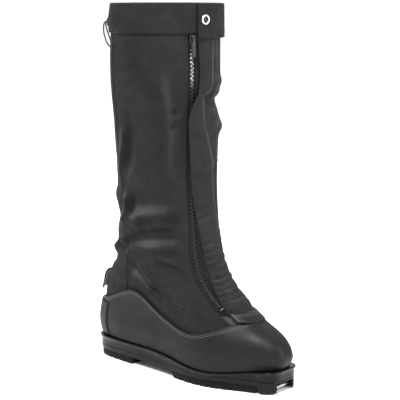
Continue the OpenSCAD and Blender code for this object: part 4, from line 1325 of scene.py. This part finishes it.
def rim_ripple(a, t):
    """The drawcord gathers the collar a little."""
    gathers = 0.32 * np.sin(np.radians(23 * a)) + 0.22 * np.sin(np.radians(37 * a + 40))
    return gathers * bump(t, T_CORD, 0.02)


def collar_height(t):
    """Outer face of the collar band, which swells a little over the cord."""
    return 2.4 + 0.9 * smooth((t - T_COLLAR) / 0.022) + 0.5 * bump(t, T_CORD, 0.016)


def make_collar():
    low, high = T_COLLAR, 0.9975
    section = [(low, 0.9), (low - 0.001, 1.8), (low + 0.0015, float(collar_height(low)))]
    section += [(t, float(collar_height(t))) for t in np.linspace(low + 0.005, high - 0.01, 26)]
    section += [(high - 0.005, BAND_OUT - 0.9), (high - 0.001, BAND_OUT - 1.2),
                (high + 0.002, BAND_OUT - 1.7), (high + 0.0028, 1.6), (high + 0.0028, 0.2),
                (high + 0.002, -1.2), (high - 0.001, -2.1), (high - 0.006, -2.4), (high - 0.022, -2.4),
                (high - 0.024, -1.9), (high - 0.012, -1.4), (high - 0.006, 1.8)]
    section += [(t, BAND_IN - 0.4) for t in np.linspace(high - 0.012, low + 0.004, 6)]
    band = belt("collar_sleeve", section, line_at(ZIP_Y + SLOT_W / 2),
                lambda t: 360 + angle_at(ZIP_Y + SLOT_W / 2 - 0.5, t), 340, CLOTH, rim_ripple)
    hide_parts("collar_band", "hem_tape")
    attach(band, "boot")
    eye = lathe([(GROMMET_R, -2), (GROMMET_R, 9)], frame_matrix(SIDE, UP, OUT, last(LOCK_A, T_CORD)), 40)
    cut(band, [eye])
    angles = np.linspace(14, 360 + float(angle_at(-FLAP_HALF_W, 0.95)) - 1, 900)
    for name, t in (("low", low + 0.011), ("high", high - 0.017)):
        sew(f"collar_stitches_{name}", angles, np.full(900, t),
            lambda a, t: skin(a, t, collar_height(t) + 0.06 + rim_ripple(a, t)))


TAB_END_A = 62.0


def tab_height(a, t):
    """Outer face of the collar's front end: over the flap, then down on the band at the inner side."""
    rise = AIR + FLAP_OUT + 1.6 * smooth((t - T_COLLAR + 0.03) / 0.024) + TAB_T
    down = smooth((a - 14) / 34)
    return rise * (1 - down) + (BAND_OUT + 0.75) * down


def on_the_tab(a, t):
    return skin(a, t, tab_height(a, t) + 0.04)


def make_collar_tab():
    low_t = T_COLLAR - 0.006
    a_low = line_at(-FLAP_HALF_W)

    def t_low(a):
        return low_t + (T_COLLAR - 0.005 - low_t) * smooth((a - 12) / 18)

    a, t = patch(a_low, TAB_END_A, t_low, 0.9995, 130, 56)
    piece = grid_object("collar_front_tab", skin(a, t, tab_height(a, t) + rolled(a, t, 0.5, 1.1)))
    piece = thicken(piece, TAB_T)
    dress(piece, CLOTH, body=None, replaces=["collar_tab"])
    parts = [piece]
    ts = np.linspace(low_t + 0.008, 0.992, 160)
    parts.append(sew("tab_end_stitches", angle_at(-FLAP_HALF_W + 2.4, ts), ts, on_the_tab, size=FINE_STITCH,
                     body=None))
    for name, inset in (("tab_low_stitches", 0.008), ("tab_high_stitches", None)):
        angles = np.linspace(float(angle_at(-FLAP_HALF_W + 3, 0.95)), TAB_END_A - 2, 260)
        ts = t_low(angles) + inset if inset else np.full(260, 0.99)
        parts.append(sew(name, angles, ts, on_the_tab, size=FINE_STITCH, body=None))
    angles = np.linspace(float(angle_at(-FLAP_HALF_W + 0.6, 0.94)), TAB_END_A - 1, 200)
    ts = t_low(angles)
    parts.append(dress(tube("tab_piping", skin(angles, ts, tab_height(angles, ts) - 0.5), 0.85, 10), PIPING,
                       body=None))
    for part in parts:
        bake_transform(part)


def with_flap(piece):
    """A piece that is sewn to the storm flap: its placing is baked into its mesh."""
    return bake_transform(piece)


def flap_line(y, t, lift=0.05):
    a = angle_at(y, t)
    return skin(a, t, flap_height(a, t) + lift), normal(a, t)


def make_flap():
    top = T_COLLAR - 0.006
    a, t = patch(lambda t: angle_at(flap_edge(t), t), lambda t: angle_at(flap_medial(t), t), 0.3, top, 84,
                 330)
    grid = skin(a, t, flap_height(a, t) + rolled(a, t, 0.4, 0.9))
    piece = grid_object("storm_flap", grid)
    # The flap's ups and downs set the painted shade and painted highlight of its cloth.
    mark_painted_fold_light(piece, 0.6 * (flap_height(a, t) - flap_height(a, t).mean(0)), grid)
    piece = thicken(piece, FLAP_T)
    dress(piece, FLAP_CLOTH_PAINTED_LIGHT, body=None, replaces=["storm_flap_lower", "storm_flap_upper"])
    with_flap(piece)
    ts = np.linspace(0.308, top - 0.002, 520)
    edge = flap_edge(ts)
    points, _ = flap_line(edge + 0.5, ts, -0.55)
    with_flap(dress(tube("flap_edge_piping", points, 0.8, 10), PIPING, body=None))
    for name, inset in (("a", 3.0), ("b", 5.4)):
        points, normals = flap_line(edge + inset, ts)
        with_flap(dress(stitches(f"flap_edge_stitches_{name}", points, normals, 0, 3.4, 2.5, 0.6),
                        DARK_THREAD, body=None))
    ts = np.linspace(0.31, 0.752, 420)
    medial = flap_medial(ts)
    points, _ = flap_line(medial - 0.4, ts, -0.3)
    with_flap(dress(tube("flap_inner_piping", points, 0.8, 10), PIPING, body=None))
    points, normals = flap_line(medial - 3.4, ts)
    with_flap(dress(stitches("flap_inner_stitches", points, normals, 0, 3.4, 2.5, 0.65), THREAD, body=None))
    seam = curve(FLAP_SEAM, np.linspace(0, 1, 420))
    points, normals = flap_line(seam[:, 0], seam[:, 1])
    for name, shift in (("a", 0), ("b", 2.2)):
        with_flap(dress(stitches(f"flap_seam_stitches_{name}", points, normals, shift, 3.0, 1.9, 0.7),
                        THREAD, body=None))


def flap_strip(name, y0, y1, t0, t1, out, thick, material, nodes, follows_flap, height):
    a, t = patch(line_at(y0), line_at(y1), t0, t1, 12, 150)
    piece = thicken(grid_object(name, skin(a, t, height(a, t, out))), thick, 0)
    dress(piece, material, body=None if follows_flap else "boot", replaces=nodes)
    if follows_flap:
        with_flap(piece)


def under_flap(a, t, out):
    """Height of a strip sewn to the inside of the storm flap."""
    return flap_height(a, t) - FLAP_T - out


def on_cloth(a, t, out):
    return cloth_height(a, t) + out


def make_fasteners():
    flap_strip("loop_tape", -8, 8, T_TAB + 0.02, T_COLLAR - 0.02, 0.5, 0.5, PILE,
               ["loop_strip"], False, on_cloth)
    flap_strip("hook_tape", -8, 8, T_TAB + 0.02, T_COLLAR - 0.02, 0.02, 0.6, PILE,
               ["hook_strip_lower", "hook_strip_upper"], True, under_flap)
    flap_strip("flap_seam_binding", lambda t: flap_medial(t) - 6.5, lambda t: flap_medial(t) - 1.5,
               T_TAB + 0.02, 0.85, 0.1, 0.3, TAPE, ["flap_seam_tape"], True, under_flap)


T_STUD = t_at(BOOT_H - 20)
STUD_Y = -12.0


def make_snap():
    a = float(angle_at(STUD_Y, T_STUD))
    base = facing(normal(a, T_STUD), last(a, T_STUD))
    tab_out = AIR + FLAP_OUT + 1.6 + TAB_T
    ring = [(3.9, tab_out - 0.1), (3.95, tab_out + 1.1), (4.3, tab_out + 1.55), (5.0, tab_out + 1.75),
            (5.8, tab_out + 1.6), (6.35, tab_out + 1.15), (6.5, tab_out + 0.6), (6.4, tab_out + 0.15),
            (6.0, tab_out - 0.1)]
    dome = [(0.02, tab_out + 1.75), (1.0, tab_out + 1.7), (2.1, tab_out + 1.5), (3.2, tab_out + 1.1),
            (3.85, tab_out + 0.75), (3.9, tab_out), (0.02, tab_out)]
    dress(join_parts("snap_ring", [turned_ring(ring[::-1], base)]), NICKEL, "flap_top",
          ["stud_cap"])
    dress(join_parts("snap_dome", [lathe(dome[::-1], base)]), ENAMEL, "flap_top")
    for name in ("stud_socket", "stud_post"):
        restyle(name, NICKEL)


def restyle(node, material):
    """A CAD node whose shape stays, with a procedural material."""
    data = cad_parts[node].data
    data.materials.clear()
    data.materials.append(material)


make_gaiter()
make_seams()
make_collar()
make_collar_tab()
make_flap()
make_fasteners()
make_snap()

# ---- Zip ----
T_ZIP_TOP = T_COLLAR + 0.024
T_ZIP_END = 0.335
TOOTH_PITCH = 5.0
SLIDER_S = 30.0
PIN_Z = 5.8
PIN_Y = -2.0


def zip_point(t, h):
    return skin(angle_at(ZIP_Y, t), t, flat_cloth_height(angle_at(ZIP_Y, t), t) - CLOTH_T + h)


ZIP_TS = np.linspace(T_ZIP_TOP, T_ZIP_END, 201)
ZIP_RUN = np.concatenate([[0], np.cumsum(np.linalg.norm(np.diff(zip_point(ZIP_TS, 0.0), axis=0), axis=1))])


def at_zip(s):
    """Frame s below the zip's top: +X to the outer side, +Y down the zip, +Z outward."""
    def t_of(run):
        return np.interp(run, ZIP_RUN, ZIP_TS)

    t = t_of(s)
    down = unit(zip_point(t_of(min(s + 3, ZIP_RUN[-1])), 0.0) - zip_point(t_of(max(s - 3, 0)), 0.0))
    m = normal(angle_at(ZIP_Y, t), t)
    n = unit(m - (m @ down) * down)
    return frame_matrix(np.cross(down, n), down, n, zip_point(t, 0.0))


def make_zip():
    for name, y0, y1, node in (("zip_tape_outer", ZIP_Y - 10, ZIP_Y - 0.3, "zip_tape_lateral"),
                               ("zip_tape_inner", ZIP_Y + 0.3, ZIP_Y + 10, "zip_tape_medial")):
        a, t = patch(line_at(y0), line_at(y1), 0.3, 0.995, 12, 180)
        height = cloth_height(a, t) - CLOTH_T - AIR
        dress(thicken(grid_object(name, skin(a, t, height)), 0.8, 0), TAPE, replaces=[node])
    for name, direction, shift, node in (("zip_teeth_outer", 1, 3.0, "zip_teeth_lateral"),
                                         ("zip_teeth_inner", -1, 3.0 + TOOTH_PITCH / 2, "zip_teeth_medial")):
        parts = []
        for s in np.arange(shift, ZIP_RUN[-1] - 1, TOOTH_PITCH):
            m = at_zip(s)
            parts.append(rounded_box((direction * 1.2, 0, 1.1), (2.5, 2.3, 2.2), 0.45, m, (0.86, 0.8)))
            parts.append(rounded_box((direction * -0.35, 0, 1.0), (1.5, 1.5, 1.7), 0.4, m, (0.8, 0.8)))
        dress(join_parts(name, parts), TEETH, replaces=[node])
    stops = [rounded_box((s * 1.5, -0.7, 1.3), (2.5, 2.8, 2.6), 0.5, at_zip(0)) for s in (-1, 1)]
    dress(join_parts("zip_stops_upper", stops), ZIP_PLASTIC, replaces=["zip_top_stops"])
    end = [rounded_box((0, 2.8, 1.4), (5.6, 3.8, 2.8), 0.7, at_zip(ZIP_RUN[-1]))]
    end += [rounded_box((s * 1.7, 2.8, 2.7), (1.0, 3.0, 0.6), 0.2, at_zip(ZIP_RUN[-1])) for s in (-1, 1)]
    dress(join_parts("zip_stop_lower", end), ZIP_PLASTIC, replaces=["zip_bottom_stop"])
    m = at_zip(SLIDER_S)
    body = [rounded_box((0, 0, 3.55), (8.2, 11.6, 1.2), 0.5, m, steps=3),
            rounded_box((0, 0, 4.05), (5.4, 9.0, 0.6), 0.28, m)]
    body += [rounded_box((s * 3.6, 0, 2.1), (0.95, 11.0, 2.1), 0.35, m) for s in (-1, 1)]
    body += [rounded_box((s * 2.4, PIN_Y, 5.6), (1.1, 3.2, 3.2), 0.5, m, steps=3) for s in (-1, 1)]
    dress(join_parts("slider_body", body), ZIP_PLASTIC, "slider", ["zip_slider"])
    pull = [lathe([(0.02, -2.9), (0.8, -2.9), (0.8, 2.9), (0.02, 2.9)],
                  m @ frame_matrix((0, 1, 0), (0, 0, 1), (1, 0, 0), (0, PIN_Y, PIN_Z)), 24)]
    pull += [rounded_box((0, PIN_Y + 2.9, PIN_Z), (2.9, 7.0, 1.3), 0.5, m, steps=3),
             rounded_box((0, PIN_Y + 14.2, PIN_Z), (6.0, 19.2, 1.4), 0.6, m, steps=3)]
    pull += [rounded_box((0, PIN_Y + 10 + 2.6 * k, PIN_Z + 0.72), (4.0, 1.0, 0.4), 0.18, m) for k in range(5)]
    dress(join_parts("pull_grip", pull), ZIP_PLASTIC, "pull_tab", ["zip_pull"])


make_zip()

# ---- Inner boot ----
INNER_IN, INNER_OUT = -8.0, -5.5
T_THROAT, T_CUFF = 0.36, 0.6
THROAT_Y, LACE_Y, TONGUE_Y, PADDING_Y = 13.0, 17.0, 21.0, 23.0


def back_round(y):
    return lambda t: 360 + angle_at(-y, t)


def inflate(piece, pressure, cap, frames=16):
    """Puffs a closed pad up with a short cloth simulation. No point moves further than cap (mm)."""
    remesh = piece.modifiers.new("remesh", "REMESH")
    remesh.mode = "VOXEL"
    remesh.voxel_size = 0.0035
    bake_modifiers(piece)
    count = len(piece.data.vertices)
    before = np.zeros(count * 3)
    piece.data.vertices.foreach_get("co", before)
    cloth = piece.modifiers.new("cloth", "CLOTH")
    cloth.settings.use_pressure = True
    cloth.settings.uniform_pressure_force = pressure
    cloth.settings.effector_weights.gravity = 0
    cloth.settings.quality = 5
    cloth.collision_settings.use_collision = False
    scene = bpy.context.scene
    for number in range(1, frames + 1):
        scene.frame_set(number)
    after = np.zeros(count * 3)
    result = piece.evaluated_get(bpy.context.evaluated_depsgraph_get()).to_mesh()
    result.vertices.foreach_get("co", after)
    piece.to_mesh_clear()
    piece.modifiers.clear()
    move = (after - before).reshape(-1, 3)
    size = np.linalg.norm(move, axis=1, keepdims=True)
    move = move * np.minimum(1, cap * MM / np.maximum(size, 1e-9))
    piece.data.vertices.foreach_set("co", (before + move.ravel()).astype(np.float32))
    piece.data.update()
    scene.frame_set(1)
    smoothing = piece.modifiers.new("smoothing", "SUBSURF")
    smoothing.levels = smoothing.render_levels = 1
    return bake_modifiers(piece)


def make_inner_boot():
    a = np.linspace(0, 360, 180, endpoint=False)[None, :]
    t = np.linspace(0.06, T_THROAT, 60)[:, None] + 0 * a
    vamp = grid_object("inner_boot_vamp", skin(a, t, INNER_OUT + 0.25 * np.sin(90 * t)), closed=True)
    dress(thicken(vamp, 2.5, 0), LINING, replaces=["inner_vamp"])
    a, t = patch(line_at(THROAT_Y), back_round(THROAT_Y), T_THROAT + 0.002, T_CUFF, 150, 90)
    quilt = 0.5 * np.abs(np.sin(np.radians(9 * a))) * smooth((t - 0.40) / 0.02) - 0.4
    cuff = grid_object("inner_boot_cuff", skin(a, t, INNER_OUT + quilt + rolled(a, t, 0.6, 1.5)))
    dress(thicken(cuff, 2.3), LINING, replaces=["inner_cuff"])
    a, t = patch(line_at(PADDING_Y), back_round(PADDING_Y), 0.548, T_CUFF - 0.003, 110, 14)
    padding = grid_object("cuff_pad", skin(a, t, INNER_IN - 1.1))
    padding = thicken(padding, 3.0, 0)
    padding = inflate(padding, 4.0, 1.3)
    dress(padding, FELT, replaces=["cuff_padding"])
    a, t = patch(line_at(-TONGUE_Y), line_at(TONGUE_Y), 0.4, 0.64, 40, 90)
    ridge = 0.45 * np.sin(150 * t) * bump(y_of(a, t), 0, 13)
    tongue = grid_object("padded_tongue", skin(a, t, INNER_IN - 0.7 + ridge + rolled(a, t, 1.1, 2.5)))
    dress(thicken(tongue, 2.6), LINING, replaces=["tongue"])
    lace_ts = 0.39 + 0.033 * np.arange(7)
    k = np.linspace(-1, 1, 13)
    ys = np.concatenate([(-k if i % 2 == 0 else k) * LACE_Y for i in range(7)])
    ts = np.repeat(lace_ts, 13)
    knots = skin(angle_at(ys, ts), ts, INNER_OUT + 1.6)
    path = curve(knots, np.linspace(0, 1, 500))
    dress(tube("boot_lace", path, 1.1, 10), BRAID, replaces=["lace"])
    ring = [(1.5, 0.05), (1.7, 0.9), (2.2, 1.15), (2.8, 0.9), (3.0, 0.3), (2.8, 0.0)]
    parts = []
    for t in lace_ts:
        for s in (-1, 1):
            angle = float(angle_at(s * (LACE_Y + 5), t))
            seat = facing(normal(angle, t), skin(angle, t, INNER_OUT + AIR))
            parts.append(turned_ring(ring[::-1], seat, 28))
    dress(join_parts("lace_rings", parts), NICKEL, replaces=["lace_loops"])


def insole_rings(inset, profile):
    """Closed flat shape under the foot. profile: (further inset, height over the feather line)."""
    angles = np.arange(0, 360, 2.0)
    edge = last(angles, 0)
    d = np.roll(edge, -1, 0) - np.roll(edge, 1, 0)
    out = unit(np.stack([d[:, 1], -d[:, 0]], -1))
    rings = []
    for more, height in profile:
        xy = edge[:, :2] - (inset + more) * out
        rings.append(np.column_stack([xy, edge[:, 2] + height]))
    return np.concatenate(rings), ring_faces(len(profile), len(angles))


def make_footbed():
    profile = [(2.0, 4.3), (0.2, 4.6), (0, 6.0), (0.6, 7.4), (1.8, 8.0), (5.0, 7.6), (9.0, 7.0)]
    bed = join_parts("cushioned_footbed", [insole_rings(10, profile)])
    dress(bed, FELT, replaces=["footbed"])
    for node, material in (("lasting_board", BOARD), ("shank", STEEL), ("toe_bar", STEEL),
                           ("toe_puff", BOARD), ("heel_counter", BOARD), ("drawcord_hem", BRAID),
                           ("cord_lock_spring", NICKEL)):
        restyle(node, material)


make_inner_boot()
make_footbed()


# ---- Stage and light ----
HORIZON_LIGHT, ZENITH_LIGHT = 0.55, 1.35


def area_light(name, place_mm, target_mm, size, power):
    data = bpy.data.lights.new(name, "AREA")
    data.shape = "RECTANGLE"
    data.size, data.size_y = size
    data.energy = power
    lamp = bpy.data.objects.new(name, data)
    bpy.context.scene.collection.objects.link(lamp)
    lamp.location = Vector(place_mm) * MM
    lamp.rotation_mode = "QUATERNION"
    lamp.rotation_quaternion = (Vector(target_mm) - Vector(place_mm)).to_track_quat("-Z", "Y")


def make_stage():
    floor = add_object("floor", [(-2e5, -2e5, 0), (2e5, -2e5, 0), (2e5, 2e5, 0), (-2e5, 2e5, 0)],
                       [[0, 1, 2, 3]])
    look = Look("floor", Roughness=0.9, Specular_IOR_Level=0.1)
    look.colour(look.mix(look.noise(0.5), (0.93, 0.93, 0.93), (0.95, 0.95, 0.95)))
    floor.data.materials.append(look.material)
    world = bpy.data.worlds.new("world")
    bpy.context.scene.world = world
    world.use_nodes = True
    tree = world.node_tree
    sky = tree.nodes.new("ShaderNodeTexCoord")
    upward = tree.nodes.new("ShaderNodeSeparateXYZ")
    tree.links.new(sky.outputs["Generated"], upward.inputs[0])
    glow = tree.nodes.new("ShaderNodeMapRange")
    tree.links.new(upward.outputs[2], glow.inputs[0])
    for socket, value in zip((1, 2, 3, 4), (0.15, 0.75, HORIZON_LIGHT, ZENITH_LIGHT)):
        glow.inputs[socket].default_value = value
    tree.nodes["Background"].inputs["Color"].default_value = (1, 1, 1, 1)
    tree.links.new(glow.outputs[0], tree.nodes["Background"].inputs["Strength"])
    target = (0, 0, 220)
    area_light("key", (700, -1500, 2300), target, (0.8, 0.8), 100)
    area_light("side", (1900, 300, 800), target, (0.6, 1.6), 22)
    area_light("back", (-1500, 1300, 1300), target, (1.0, 1.0), 34)
    scene = bpy.context.scene
    scene.view_settings.view_transform = "Standard"
    scene.view_settings.look = "None"


make_stage()
